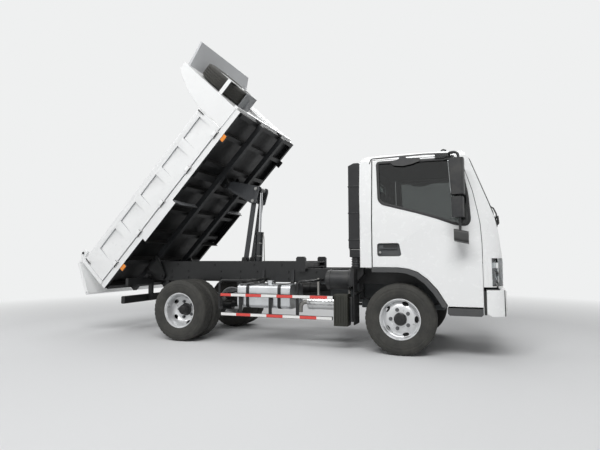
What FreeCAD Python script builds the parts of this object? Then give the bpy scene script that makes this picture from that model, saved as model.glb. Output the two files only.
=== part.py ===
import FreeCAD, Part
import Sketcher
import math
import os
import re

# Tipper lorry: forward-control cab that tilts, drop-side bed with a top-hung tailgate, hoist under the bed.
# X forward, Y left, Z up, millimetres. The ground is Z = 0 and the origin lies under the middle of the lorry.
# Stations along X are counted from the front axle; the bed's own stations (u along the floor from its
# rear edge, w up from the underside of the floor) are turned about the tipping pivot.

doc = FreeCAD.newDocument("tipper")
sheet = doc.addObject("Spreadsheet::Sheet", "Sizes")

SIZES = [
    # alias, value, what it is
    ("front_axle", 1690, "front axle ahead of the origin"),
    ("wheel_base", 2800, "front axle to rear axle"),
    ("cab_half", 860, "half the cab's width"),
    ("bed_length", 3050, "bed floor, rear edge to headboard"),
    ("bed_half", 912, "half the bed's width over the side gates"),
    ("bed_angle", 47, "tilt of the raised bed, degrees"),
    # wheels
    ("tyre_radius", 388, "tyre"),
    ("tyre_width", 200, "tyre section"),
    ("rim_radius", 222, "rim flange"),
    ("front_track", 760, "front tyre's middle from the centre line"),
    ("dual_outer", 800, "outer rear tyre's middle"),
    ("dual_gap", 32, "gap between the twin tyres"),
    ("hub_bore", 32, "bore of a hub"),
    ("spindle_gap", 0.4, "running clearance of a hub on its spindle"),
    ("kingpin_y", 640, "steering axis from the centre line"),
    ("kingpin_radius", 17, "kingpin"),
    # frame
    ("frame_half", 375, "outer face of the side rails"),
    ("frame_low", 740, "underside of the side rails"),
    ("rail_height", 180, "side rail web"),
    ("rail_flange", 65, "side rail flange"),
    ("rail_wall", 8, "side rail thickness"),
    ("frame_front", 850, "front end of the rails"),
    ("rear_overhang", 760, "rear end of the rails behind the rear axle"),
    ("subframe_height", 90, "tipping subframe on top of the rails"),
    ("subframe_front", -1250, "front end of the subframe"),
    ("tow_reach", 55, "bore of the rear towing eye behind the rails"),
    ("tow_rise", 90, "the same bore above the rails' underside"),
    ("tow_bore", 20, "radius of that bore"),
    ("tow_width", 26, "thickness of the towing eye"),
    # bed
    ("pivot_behind", 646, "tipping pivot behind the rear axle"),
    ("pivot_rise", 60, "tipping pivot above the rails' underside"),
    ("bed_seat_gap", 12, "rest pad between the lowered bed's sills and the subframe"),
    ("pivot_u", 502, "pivot ahead of the bed's rear edge"),
    ("pivot_pin", 24, "radius of the tipping pin"),
    ("floor_plate", 8, "bed floor plate"),
    ("bearer_height", 80, "cross bearers between the sills and the floor plate"),
    ("weld_gap", 0.3, "fit of pieces that are welded or bolted together"),
    ("sill_height", 108, "long sills under the floor"),
    ("sill_half", 384, "outer face of the long sills"),
    ("sill_width", 70, "long sill"),
    ("gate_height", 500, "top of the side gates over the floor's underside"),
    ("gate_thick", 34, "side gate"),
    ("gate_low", 62, "gate hinge line over the floor's underside"),
    ("gate_rear", 60, "rear end of the side gates"),
    ("gate_front", 2735, "front end of the side gates"),
    ("headboard_thick", 42, "headboard"),
    ("headboard_height", 1120, "top of the headboard"),
    ("wing_rear", 2742, "rear edge of the fixed front wings"),
    ("tail_pin_u", 100, "tailgate pivot ahead of the rear edge"),
    ("tail_pin_w", 585, "tailgate pivot over the floor's underside"),
    ("tail_angle", 26, "tailgate hangs open, degrees"),
    ("tail_thick", 42, "tailgate"),
    ("gate_pin", 14, "tailgate pin"),
    # hoist with the bed raised, each pin ahead of the tipping pivot and above it
    ("lift_bed_ahead", 896, "pin of the lift plates on the bed"),
    ("lift_bed_above", 1285, ""),
    ("lift_ram_ahead", 1366, "pin of the ram's rod on the lift plates"),
    ("lift_ram_above", 1220, ""),
    ("lift_link_ahead", 1317, "pin of the pull rods on the lift plates"),
    ("lift_link_above", 1052, ""),
    ("link_foot_ahead", 1196, "pull rods' pin, on ears of the subframe"),
    ("link_foot_rise", 30, "the same pin over the subframe"),
    ("ram_foot_ahead", 1328, "ram's pin between the rails"),
    ("ram_foot_rise", 40, "the same pin above the rails' underside"),
    ("lift_half", 160, "outer face of the lift plates"),
    ("lift_plate", 18, "lift plate thickness"),
    ("link_thick", 26, "pull rod bar thickness"),
    ("ram_radius", 55, "ram barrel"),
    ("ram_rod", 27, "ram rod"),
    ("ram_barrel", 640, "ram barrel length"),
    ("hoist_pin", 20, "hoist pins"),
    # cab
    ("cab_rear", -435, "rear wall of the cab"),
    ("wall", 42, "cab wall and door thickness"),
    ("door_gap", 6, "gap round a door"),
    ("glass", 6, "window glass thickness"),
    ("cab_pivot_x", 1000, "axis on which the cab tilts"),
    ("cab_pivot_z", 650, ""),
    ("cab_pin", 18, "pin that the cab tilts on"),
    ("grille_half", 420, "half the width of the air slots"),
    ("mirror_tube", 13, "tube of the mirror arms"),
    ("cab_floor_gap", 10, "cab floor over the rails"),
    ("door_pivot_x", 872, "door hinge axis"),
    ("door_pivot_y", 866, ""),
    ("bumper_front", 1080, "front face of the bumper"),
    ("bumper_top", 721, ""),
    ("bumper_low", 455, ""),
    ("mirror_y", 1000, "middle of the mirror heads"),
]
for row, (alias, value, note) in enumerate(SIZES, start=1):
    sheet.set(f"A{row}", alias)
    sheet.set(f"B{row}", str(value))
    sheet.setAlias(f"B{row}", alias)
    sheet.set(f"C{row}", note)
doc.recompute()

PLACES = [
    # name, how it follows from the sizes above
    ("rear_axle", "(0 - wheel_base)"),
    ("frame_rear", "(rear_axle - rear_overhang)"),
    ("frame_top", "(frame_low + rail_height)"),
    ("subframe_top", "(frame_top + subframe_height)"),
    ("web", "(frame_half - rail_wall - weld_gap)"),
    ("floor_z", "(frame_top + cab_floor_gap)"),
    ("tow_x", "(frame_rear - tow_reach)"),
    ("tow_z", "(frame_low + tow_rise)"),
    ("pivot_x", "(rear_axle - pivot_behind)"),
    ("pivot_z", "(frame_low + pivot_rise)"),
    ("pivot_w", "(subframe_top + bed_seat_gap + sill_height - pivot_z)"),
    ("lift_bed_x", "(pivot_x + lift_bed_ahead)"),
    ("lift_bed_z", "(pivot_z + lift_bed_above)"),
    ("lift_ram_x", "(pivot_x + lift_ram_ahead)"),
    ("lift_ram_z", "(pivot_z + lift_ram_above)"),
    ("lift_link_x", "(pivot_x + lift_link_ahead)"),
    ("lift_link_z", "(pivot_z + lift_link_above)"),
    ("link_foot_x", "(pivot_x + link_foot_ahead)"),
    ("link_foot_z", "(subframe_top + link_foot_rise)"),
    ("ram_foot_x", "(pivot_x + ram_foot_ahead)"),
    ("ram_foot_z", "(frame_low + ram_foot_rise)"),
]
for number, (name, _) in enumerate(PLACES):
    for later in range(number + 1, len(PLACES)):
        PLACES[later] = (PLACES[later][0], re.sub(rf"\b{name}\b", PLACES[number][1], PLACES[later][1]))

NAMES = sorted((alias for alias, _, _ in SIZES), key=len, reverse=True)
WORDS = re.compile(r"\b(" + "|".join(NAMES) + r")\b")
TURNS = {
    "X": FreeCAD.Rotation(FreeCAD.Vector(0, 1, 0), 90),
    "Y": FreeCAD.Rotation(FreeCAD.Vector(1, 0, 0), -90),
    "Z": FreeCAD.Rotation(),
}
parts = []


def bind(obj, path, text):
    """Tie one property to the sheet; a place is spelled out first, then each alias means its cell."""
    text = str(text)
    for name, meaning in PLACES:
        text = re.sub(rf"\b{name}\b", meaning, text)
    obj.setExpression(path, WORDS.sub(r"Sizes.\1", text))


def place(obj, x, y, z):
    for letter, text in zip("xyz", (x, y, z)):
        bind(obj, f"Placement.Base.{letter}", text)


def box(x, y, z):
    """A block; each of x, y and z is its (low, high)."""
    obj = doc.addObject("Part::Box", "block")
    for side, (low, high) in zip(("Length", "Width", "Height"), (x, y, z)):
        bind(obj, side, f"({high}) - ({low})")
    place(obj, x[0], y[0], z[0])
    return obj


def rod(axis, radius, span, at):
    """A round bar along one axis; at gives the other two coordinates in X, Y, Z order."""
    obj = doc.addObject("Part::Cylinder", "rod")
    obj.Placement = FreeCAD.Placement(FreeCAD.Vector(), TURNS[axis])
    bind(obj, "Radius", radius)
    bind(obj, "Height", f"({span[1]}) - ({span[0]})")
    base = list(at)
    base.insert("XYZ".index(axis), span[0])
    place(obj, *base)
    return obj


def both(make, *args):
    """The same piece made for the right (-1) and the left (1) side."""
    return [make(side, *args) for side in (-1, 1)]


def sided(side, inner, outer):
    """The (low, high) in Y of a piece between two distances from the centre line."""
    return (f"-({outer})", f"-({inner})") if side < 0 else (inner, outer)


def tube(radius, bend, start, *legs):
    """A round tube of straight legs along the axes with quarter bends; each leg is (axis, sign, end)."""
    ways = {"X": FreeCAD.Vector(1, 0, 0), "Y": FreeCAD.Vector(0, 1, 0), "Z": FreeCAD.Vector(0, 0, 1)}
    corner, pieces = dict(zip("XYZ", start)), []
    for i, (axis, sign, end) in enumerate(legs):
        back = f"({sign}) * {bend}"
        low = f"({corner[axis]}) + {back}" if i else corner[axis]
        high = f"({end}) - {back}" if i + 1 < len(legs) else end
        span = (low, high) if sign > 0 else (high, low)
        pieces.append(rod(axis, radius, span, [corner[a] for a in "XYZ" if a != axis]))
        corner[axis] = end
        if i + 1 == len(legs):
            break
        turn_axis, turn_sign, _ = legs[i + 1]
        first, second = ways[axis] * sign, ways[turn_axis] * -turn_sign
        elbow = doc.addObject("Part::Torus", "elbow")
        elbow.Angle3 = 90
        bind(elbow, "Radius1", bend)
        bind(elbow, "Radius2", radius)
        elbow.Placement.Rotation = FreeCAD.Rotation(first, second, first.cross(second), "ZXY")
        middle = dict(corner)
        middle[axis] = f"({corner[axis]}) - {back}"
        middle[turn_axis] = f"({corner[turn_axis]}) + ({turn_sign}) * {bend}"
        place(elbow, middle["X"], middle["Y"], middle["Z"])
        pieces.append(elbow)
    return join(*pieces)


def sketch_on(body, plane, outline):
    """A closed outline of straight lines; every corner is held by two dimensions."""
    sketch = body.newObject("Sketcher::SketchObject", "outline")
    origin = [f for f in body.Origin.OriginFeatures if f.Role == plane + "_Plane"][0]
    sketch.AttachmentSupport = [(origin, "")]
    sketch.MapMode = "FlatFace"
    count = len(outline)
    spots = [FreeCAD.Vector(500 * math.cos(2 * math.pi * i / count), 500 * math.sin(2 * math.pi * i / count), 0)
             for i in range(count)]
    for i in range(count):
        sketch.addGeometry(Part.LineSegment(spots[i], spots[(i + 1) % count]), False)
    for i in range(count):
        sketch.addConstraint(Sketcher.Constraint("Coincident", i, 2, (i + 1) % count, 1))
    for i, corner in enumerate(outline):
        for kind, text in zip(("DistanceX", "DistanceY"), corner):
            index = sketch.addConstraint(Sketcher.Constraint(kind, -1, 1, i, 1, 1.0))
            bind(sketch, f"Constraints[{index}]", text)
    return sketch


def soften(body, feature, sketch, rounds):
    """Round the pad's straight corners; rounds maps a radius to the corners' numbers."""
    doc.recompute()
    for radius, corners in rounds.items():
        spots = [sketch.getGlobalPlacement().multVec(sketch.Geometry[i].StartPoint) for i in corners]
        way = sketch.getGlobalPlacement().Rotation.multVec(FreeCAD.Vector(0, 0, 1))
        edges = []
        for number, edge in enumerate(feature.Shape.Edges, start=1):
            ends = [v.Point for v in edge.Vertexes]
            if len(ends) != 2 or (ends[1] - ends[0]).cross(way).Length > 0.01:
                continue
            if any((ends[0] - spot).cross(way).Length < 0.01 for spot in spots):
                edges.append(f"Edge{number}")
        fillet = body.newObject("PartDesign::Fillet", "rounding")
        fillet.Base = (feature, edges)
        bind(fillet, "Radius", radius)
        doc.recompute()
        feature = fillet
    return body


def prism(plane, outline, span, rounds=None):
    """A padded outline; span is its (low, high) along the plane's own axis."""
    body = doc.addObject("PartDesign::Body", "profile")
    sketch = sketch_on(body, plane, outline)
    low, high = span
    bind(sketch, "AttachmentOffset.Base.z", f"-({high})" if plane == "XZ" else low)
    pad = body.newObject("PartDesign::Pad", "pad")
    pad.Profile = sketch
    bind(pad, "Length", f"({high}) - ({low})")
    if rounds:
        soften(body, pad, sketch, rounds)
    return body


def turned(outline):
    """A profile of (radius, y) corners turned about the Y axis."""
    body = doc.addObject("PartDesign::Body", "turned")
    sketch = sketch_on(body, "XY", outline)
    turn = body.newObject("PartDesign::Revolution", "turn")
    turn.Profile = sketch
    turn.ReferenceAxis = (sketch, ["V_Axis"])
    turn.Angle = 360
    return body


def join(*objects):
    if len(objects) == 1:
        piece = doc.addObject("Part::Compound", "piece")
        piece.Links = list(objects)
        return piece
    fused = doc.addObject("Part::MultiFuse", "joined")
    fused.Shapes = list(objects)
    return fused


def cut(base, *tools):
    whole = doc.addObject("Part::Cut", "cut")
    whole.Base = base
    whole.Tool = tools[0] if len(tools) == 1 else join(*tools)
    return whole


def common(first, second):
    both = doc.addObject("Part::Common", "common")
    both.Base = first
    both.Tool = second
    return both


def mirrored(source):
    """The same piece on the other side of the lorry."""
    other = doc.addObject("Part::Mirroring", "mirrored")
    other.Source = source
    other.Normal = (0, 1, 0)
    return other


def keep(name, obj, stand="lorry"):
    """Name a sub-part and stand it in the lorry; the bed's pieces turn about the tipping pivot."""
    if stand == "bed":
        obj.Placement = FreeCAD.Placement(FreeCAD.Vector(), FreeCAD.Rotation(FreeCAD.Vector(0, -1, 0), 1))
        bind(obj, "Placement.Rotation.Angle", "bed_angle * 1 deg")
        place(obj, "front_axle + pivot_x", 0, "pivot_z")
    elif stand == "lorry":
        place(obj, "front_axle", 0, 0)
    elif stand == "front wheel":
        place(obj, "front_axle", 0, "tyre_radius")
    elif stand == "rear wheel":
        place(obj, "front_axle - wheel_base", 0, "tyre_radius")
    obj.Label = name
    parts.append(obj)
    return obj


def keep_pair(name, right, stand="lorry"):
    """The right-hand piece and its mirror image on the left."""
    keep(name + "_right", right, stand)
    keep(name + "_left", mirrored(right), "mirrored")
# ---- frame -------------------------------------------------------------------------------------

def channel(x, y_web, side, z_low, height):
    """A side rail: a C section along X whose flanges point to the centre line."""
    low, high = z_low, f"{z_low} + {height}"
    inner = f"{y_web} + ({side}) * rail_flange"
    wall = f"{y_web} + ({side}) * rail_wall"
    return prism("YZ", [(y_web, low), (inner, low), (inner, f"{low} + rail_wall"), (wall, f"{low} + rail_wall"),
                        (wall, f"{high} - rail_wall"), (inner, f"{high} - rail_wall"), (inner, high),
                        (y_web, high)], x)


def cross_member(x, width, low, high, half):
    """A pressed C section across the frame, open to the front, between two webs."""
    return prism("XZ", [(x, low), (f"{x} + {width}", low), (f"{x} + {width}", f"{low} + rail_wall"),
                        (f"{x} + rail_wall", f"{low} + rail_wall"), (f"{x} + rail_wall", f"{high} - rail_wall"),
                        (f"{x} + {width}", f"{high} - rail_wall"), (f"{x} + {width}", high), (x, high)],
                 (f"-{half}", half))


def frame_rail(side):
    """One rail with the stub that the bed tips on."""
    web = f"({side}) * frame_half"
    rail = channel(("frame_rear", "frame_front"), web, -side, "frame_low", "rail_height")
    stub = rod("Y", "pivot_pin", sided(side, "frame_half - rail_wall", "sill_half + 40"), ("pivot_x", "pivot_z"))
    return join(rail, stub)


def cab_horn(side):
    """The arm of the front cross member that carries the cab's tilting pivot."""
    arm = prism("XZ", [(790, 775), (845, 775), ("cab_pivot_x - 26", "cab_pivot_z + 24"),
                       ("cab_pivot_x + 26", "cab_pivot_z + 24"), ("cab_pivot_x + 26", "cab_pivot_z - 26"),
                       ("cab_pivot_x - 30", "cab_pivot_z - 26"), (790, 745)], sided(side, 262, 290))
    return join(arm, rod("Y", "cab_pin", sided(side, 262, 345), ("cab_pivot_x", "cab_pivot_z")))


def chassis_frame():
    low, high = "frame_low + 30", "frame_top - 30"
    front = join(box((780, 850), ("-web", "web"), (low, high)), *both(cab_horn))
    middle = [cross_member(x, 70, low, high, "web") for x in (-1230, "rear_axle + 360", "rear_axle - 300")]
    ram_pin = join(rod("Y", "hoist_pin", ("-web", "web"), ("ram_foot_x", "ram_foot_z")),
                   *[rod("Y", 42, span, ("ram_foot_x", "ram_foot_z")) for span in (("-web", "14 - web"),
                                                                                 ("web - 14", "web"))])
    tow_plate = prism("XZ", [("frame_rear + 40", "tow_z - 50"), ("tow_x - 34", "tow_z - 34"),
                             ("tow_x - 34", "tow_z + 34"), ("frame_rear + 40", "tow_z + 50")],
                      ("-tow_width / 2", "tow_width / 2"), {30: [1, 2]})
    tow_bore = rod("Y", "tow_bore", (-100, 100), ("tow_x", "tow_z"))
    rear = cut(join(box(("frame_rear + 10", "frame_rear + 80"), ("-web", "web"), (low, high)), tow_plate), tow_bore)
    keep("chassis_frame", join(*both(frame_rail), front, *middle, ram_pin, rear))


def subframe_rail(side):
    """One rail of the tipping subframe with the guide that centres the lowered bed."""
    web = f"({side}) * (frame_half - 4)"
    rail = channel(("pivot_x - 50", "subframe_front"), web, -side, "frame_top", "subframe_height")
    foot = box(("subframe_front - 90", "subframe_front - 15"), sided(side, "frame_half - 5", "sill_half + 14"),
               ("frame_top + 15", "subframe_top - 10"))
    guide = prism("XZ", [("subframe_front - 115", "frame_top - 40"), ("subframe_front + 10", "frame_top - 40"),
                         ("subframe_front + 10", "subframe_top + 40"), ("subframe_front - 8", "subframe_top + 60"),
                         ("subframe_front - 97", "subframe_top + 60"), ("subframe_front - 115", "subframe_top + 40")],
                  sided(side, "sill_half + 12", "sill_half + 56"))
    return join(rail, foot, guide)


def link_ears(side):
    """Two ears with the pin that holds one pull rod, on their own cross member."""
    low = {-1: (-175, -95), 1: (65, 145)}[side]
    ears = [prism("XZ", [("link_foot_x - 50", "frame_top + 20"), ("link_foot_x + 45", "frame_top + 20"),
                         ("link_foot_x + 28", "link_foot_z + 26"), ("link_foot_x - 28", "link_foot_z + 26")],
                  (y, f"{y} + 30"), {12: [2, 3]}) for y in low]
    pin = rod("Y", "hoist_pin", (low[0], f"{low[1]} + 30"), ("link_foot_x", "link_foot_z"))
    return join(*ears, pin)


def subframe():
    half = "(web - 4)"
    table = [  # start of the member, height
        ("subframe_front - 60", "subframe_height - 10"),
        ("pivot_x + 746", "subframe_height - 10"),
        ("pivot_x + 146", "subframe_height - 10"),
    ]
    members = [cross_member(x, 60, "frame_top + 12", f"frame_top + {high}", half) for x, high in table]
    seat = join(box(("link_foot_x - 50", "link_foot_x + 45"), (f"-{half}", half), ("frame_top + 12", "frame_top + 50")),
                *both(link_ears))
    keep("subframe", join(*both(subframe_rail), *members, seat))


def front_axle():
    beam = prism("YZ", [("-kingpin_y", 350), ("-kingpin_y", 420), ("-kingpin_y + 60", 420), (-430, 350),
                        (430, 350), ("kingpin_y - 60", 420), ("kingpin_y", 420), ("kingpin_y", 350),
                        ("kingpin_y - 60", 350), (430, 275), (-430, 275), ("-kingpin_y + 60", 350)],
                 (-32, 32))
    ends = [rod("Z", 32, (350, 420), (0, y)) for y in ("-kingpin_y", "kingpin_y")]
    pins = [rod("Z", "kingpin_radius", (318, 458), (0, y)) for y in ("-kingpin_y", "kingpin_y")]
    return join(beam, *ends, *pins)


def knuckle():
    """Right steering knuckle: two eyes on the kingpin, a web outside them and the wheel's spindle."""
    eyes = [rod("Z", 32, span, (0, "-kingpin_y")) for span in ((424, 458), (318, 346))]
    web = box((-34, 34), ("-kingpin_y - 62", "-kingpin_y - 36"), (318, 458))
    arms = [box((-24, 24), ("-kingpin_y - 40", "-kingpin_y - 20"), span) for span in ((424, 458), (318, 346))]
    spindle = rod("Y", "hub_bore - spindle_gap", ("-front_track - 40", "-kingpin_y - 50"), (0, "tyre_radius"))
    steer_arm = box((-150, -20), ("-kingpin_y - 62", "-kingpin_y - 40"), (322, 344))
    bore = rod("Z", "kingpin_radius + spindle_gap", (300, 480), (0, "-kingpin_y"))
    keep_pair("knuckle", cut(join(*eyes, web, *arms, spindle, steer_arm), bore))


def rear_axle():
    x = "rear_axle"
    tube_half = "dual_outer - 160"
    casing = rod("Y", 55, (f"-({tube_half})", tube_half), (x, "tyre_radius"))
    banjo = turned([(0, -90), (120, -90), (165, -50), (165, 50), (120, 90), (0, 90)])
    place(banjo, x, 0, "tyre_radius")
    nose = rod("X", 62, (f"{x} + 100", f"{x} + 290"), (0, "tyre_radius"))
    shaft = prism("XZ", [(f"{x} + 285", "tyre_radius - 32"), (-1010, 560), (-1010, 624),
                         (f"{x} + 285", "tyre_radius + 32")], (-32, 32))
    spindle = rod("Y", "hub_bore - spindle_gap", ("-dual_outer - 20", "dual_outer + 20"), (x, "tyre_radius"))
    keep("axles", join(casing, banjo, nose, shaft, spindle, front_axle()))


def leaf_springs():
    """Four packs of stepped leaves with their U-bolts, between the axles and hangers under the rails."""
    packs = []
    table = [  # axle station, half length, seat height, leaves, top of the axle
        (0, 560, 422, 3, 350.3),
        ("rear_axle", 600, 446, 4, "tyre_radius + 55.3"),
    ]
    leaf, rise = 13, 130
    for x, half, seat, leaves, saddle in table:
        for low in ("-frame_half + 5", "frame_half - 65"):
            span = (low, f"{low} + 60")
            for i in range(leaves):
                end = half * (1 - 0.24 * i)
                bottom = seat + leaf * (leaves - 1 - i)
                lift = rise * (end - 90) / (half - 90)
                packs.append(prism("XZ", [(f"{x} - {end}", bottom + lift), (f"{x} - 90", bottom),
                                          (f"{x} + 90", bottom), (f"{x} + {end}", bottom + lift),
                                          (f"{x} + {end}", bottom + lift + leaf), (f"{x} + 90", bottom + leaf),
                                          (f"{x} - 90", bottom + leaf), (f"{x} - {end}", bottom + lift + leaf)], span))
            for end in (f"{x} - {half}", f"{x} + {half} - 50"):
                packs.append(box((end, f"{end} + 50"), span, (seat + rise, "frame_low - weld_gap")))
            packs.append(box((f"{x} - 60", f"{x} + 60"), span, (saddle, seat)))
            packs.append(box((f"{x} - 70", f"{x} + 70"), span, (seat + leaf * leaves, seat + leaf * leaves + 12)))
            packs += [rod("Z", 8, (seat, seat + leaf * leaves + 30), (f"{x} + {dx}", f"{low} + {dy}"))
                      for dx in (-50, 50) for dy in (8, 52)]
    keep("leaf_springs", join(*packs))


def engine_block():
    engine = box((-560, 430), (-260, 260), (440, 900))
    gearbox = box((-1000, -560), (-150, 150), (500, 760))
    feet = box(("-1160 + weld_gap", -1000), (-60, 60), (700, 800))
    mounts = box((-120, -40), ("-web", "web"), (780, 840))
    keep("engine_block", join(engine, gearbox, feet, mounts))


def tank_section(grow, x):
    """A slice of the rounded tank, larger all round by a little for its seams and straps."""
    return prism("YZ", [(f"-825 - {grow}", f"450 - {grow}"), (f"-400 + {grow}", f"450 - {grow}"),
                        (f"-400 + {grow}", f"730 + {grow}"), (f"-825 - {grow}", f"730 + {grow}")], x,
                 {f"45 + {grow}": [0, 1, 2, 3]})


def fuel_tank():
    barrel = tank_section(0, (-1990, -1290))
    seams = [tank_section(5, x) for x in ((-1982, -1972), (-1308, -1298))]
    straps = [tank_section(4, (x, x + 42)) for x in (-1871, -1451)]
    brackets = [prism("YZ", [("-frame_half - 45", 436), ("-frame_half - 5", 436), ("-frame_half", 470),
                             ("-frame_half", "frame_top - 20"), ("-frame_half - 12", "frame_top - 20"),
                             ("-frame_half - 20", 760), ("-frame_half - 45", 738)], (x, x + 40)) for x in (-1870, -1450)]
    neck = rod("Z", 34, (725, 752), (-1600, -700))
    cap = rod("Z", 42, (750, 778), (-1600, -700))
    keep("fuel_tank", join(barrel, *seams, *straps, *brackets, neck, cap))


def muffler():
    can = rod("X", 82, (-1130, -620), (-600, 520))
    ends = [rod("X", radius, span, (-600, 520)) for radius, span in ((86, (-1122, -1108)), (86, (-642, -628)),
                                                                    (60, (-1142, -1130)), (60, (-620, -608)))]
    tail = tube(26, 70, (-1130, -600, 520), ("X", -1, -1240), ("Z", -1, 395))
    inlet = rod("X", 26, (-620, -585), (-600, 520))
    bands = [rod("X", 87, (x, x + 26), (-600, 520)) for x in (-1090, -690)]
    hangers = [box((x, x + 26), ("-frame_half - 40", "-frame_half"), (560, "frame_low + 60")) for x in (-1090, -690)]
    links = [box((x, x + 26), (-560, "-frame_half - 20"), (560, 590)) for x in (-1090, -690)]
    keep("muffler", join(can, *ends, tail, inlet, *bands, *hangers, *links))


def battery_box():
    """Two batteries in a tray under a ribbed lid."""
    tray = box((-1100, -560), (400, 800), (440, 500))
    case = prism("XZ", [(-1092, 480), (-568, 480), (-568, 668), (-1092, 668)], (408, 792))
    lid = prism("YZ", [(402, 662), (798, 662), (798, 690), (770, 704), (430, 704), (402, 690)], (-1098, -562))
    ribs = [box((x, x + 16), (440, 760), (700, 712)) for x in (-1040, -960, -880, -800, -720, -640)]
    hinge = rod("X", 9, (-1040, -620), (402, 672))
    bracket = box((-1000, -660), ("frame_half", 410), (600, "frame_low + 110"))
    keep("battery_box", join(tray, case, lid, *ribs, hinge, bracket))


def air_cleaner():
    can = rod("X", 116, (-900, -600), (-545, 790))
    cover = [rod("X", radius, span, (-545, 790)) for radius, span in ((121, (-872, -852)), (98, (-912, -900)),
                                                                     (121, (-640, -624)))]
    duct = prism("XZ", [(-620, 740), (-600, 700), (-440, 860), (-440, 945), (-585, 945)], (-660, -560), {24: [1, 2]})
    stay = box((-780, -700), (-440, "-frame_half"), (700, "frame_low + 110"))
    keep("air_cleaner", join(can, *cover, duct, stay))


def guard(side):
    """Two rails on posts; two bent tubes carry them from the frame."""
    rails = [box(x, sided(side, 857, 882), z) for x, z in (((-2200, -740), (584, 624)), ((-2190, -750), (350, 390)))]
    posts = [box((x, x + 36), sided(side, 839, 857), (350, 624)) for x in (-1953, -1553, -1203)]
    y = f"({side}) * 840"
    rear = tube(15, 60, (-2235, y, 420), ("Z", 1, 780), ("X", 1, -1800), ("Y", -side, f"({side}) * frame_half"))
    front = tube(15, 60, (-1185, y, 600), ("Z", 1, 780), ("X", 1, -1030), ("Y", -side, f"({side}) * frame_half"))
    hook = [rod("X", 15, (-2235, -2195), (y, 440)), rod("X", 15, (-2235, -2195), (y, 604))]
    lugs = [box((-2215, -2180), sided(side, 840, 860), z) for z in ((425, 455), (589, 619))]
    return join(*rails, *posts, rear, front, *hook, *lugs)


def side_guards():
    keep("side_guards", join(*both(guard)))


def underrun_bar():
    bar = prism("XZ", [("frame_rear - 200", 440), ("frame_rear - 140", 440), ("frame_rear - 140", 540),
                       ("frame_rear - 200", 540)], (-850, 850), {14: [0, 1, 2, 3]})
    legs = [box(("frame_rear - 140", "frame_rear - 80"), span, (450, 800)) for span in ((-372, -330), (330, 372))]
    arms = [box(("frame_rear - 140", "frame_rear"), span, ("frame_low + 5", "frame_low + 60"))
            for span in ((-372, -330), (330, 372))]
    boards = [box(("frame_rear - 100", "frame_rear - 80"), sided(side, 330, 860), (690, 780)) for side in (-1, 1)]
    lamps = [prism("YZ", [(y, 688), (y + 370, 688), (y + 370, 782), (y, 782)], ("frame_rear - 130", "frame_rear - 100"),
                   {10: [0, 1, 2, 3]}) for y in (-852, 482)]
    keep("underrun_bar", join(bar, *legs, *arms, *boards, *lamps))


def bumper():
    side = prism("XZ", [(885, "bumper_low + 30"), (930, "bumper_low"), ("bumper_front - 20", "bumper_low"),
                        ("bumper_front", "bumper_low + 60"), ("bumper_front", "bumper_top"), (885, "bumper_top")],
                 ("-cab_half", "cab_half"), {28: [4]})
    bow = [(885, "-cab_half"), ("bumper_front", "-cab_half"), ("bumper_front", "cab_half"), (885, "cab_half"),
           (885, "cab_half - 60"), (1012, "cab_half - 60"), (1012, "60 - cab_half"), (885, "60 - cab_half")]
    plan = prism("XY", bow, (400, 800), {150: [1, 2]})
    hollow = box((850, "bumper_front - 24"), ("-cab_half + 130", "cab_half - 130"), ("bumper_low + 24", "bumper_top - 24"))
    intake = prism("YZ", [(-360, 500), (360, 500), (330, 590), (-330, 590)], ("bumper_front - 40", "bumper_front + 10"),
                   {14: [0, 1, 2, 3]})
    fogs = [rod("X", 46, ("bumper_front - 14", "bumper_front + 10"), (y, 560)) for y in (-560, 560)]
    stays = [box((815, 1040), sided(side, 352, 387), (660, 700)) for side in (-1, 1)]
    posts = [box((790, 850), sided(side, "frame_half", 387), (660, "frame_low + 60")) for side in (-1, 1)]
    slots = [box((1000, "bumper_front - 24"), sided(side, 290, 350), (680, 740)) for side in (-1, 1)]
    keep("bumper", join(cut(common(side, plan), hollow, intake, *fogs, *slots), *stays, *posts))


def step(side):
    """A tread tray under the door, on a bracket from the rail."""
    tray = prism("XZ", [(500, 528), (850, 528), (850, 470), (830, 450), (520, 450), (500, 470)], sided(side, 560, 855))
    well = box((524, 826), sided(side, 584, 832), (508, 540))
    treads = [box((x, x + 14), sided(side, 575, 840), (500, 520)) for x in (570, 640, 710, 780)]
    stay = box((560, 620), sided(side, "frame_half", 570), (452, 490))
    post = box((560, 620), sided(side, "frame_half", "frame_half + 12"), (452, "frame_low + 60"))
    return join(cut(tray, well), *treads, stay, post)


def steps():
    keep("steps", join(*both(step)))


# ---- wheels ------------------------------------------------------------------------------------

def tyre_ring(y):
    """One tyre whose middle plane is at y."""
    half = "tyre_width / 2"
    bead = "(tyre_width * 0.4)"
    ring = turned([("rim_radius - 12", f"-{bead}"), ("rim_radius + 2", f"-{bead}"), ("rim_radius + 30", f"-{half}"),
                   ("tyre_radius - 60", f"-{half}"), ("tyre_radius - 12", f"{half} * -0.86"),
                   ("tyre_radius", f"{half} * -0.68"), ("tyre_radius", f"{half} * 0.68"),
                   ("tyre_radius - 12", f"{half} * 0.86"), ("tyre_radius - 60", half),
                   ("rim_radius + 30", half), ("rim_radius + 2", bead), ("rim_radius - 12", bead)])
    place(ring, 0, y, 0)
    return ring


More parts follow.
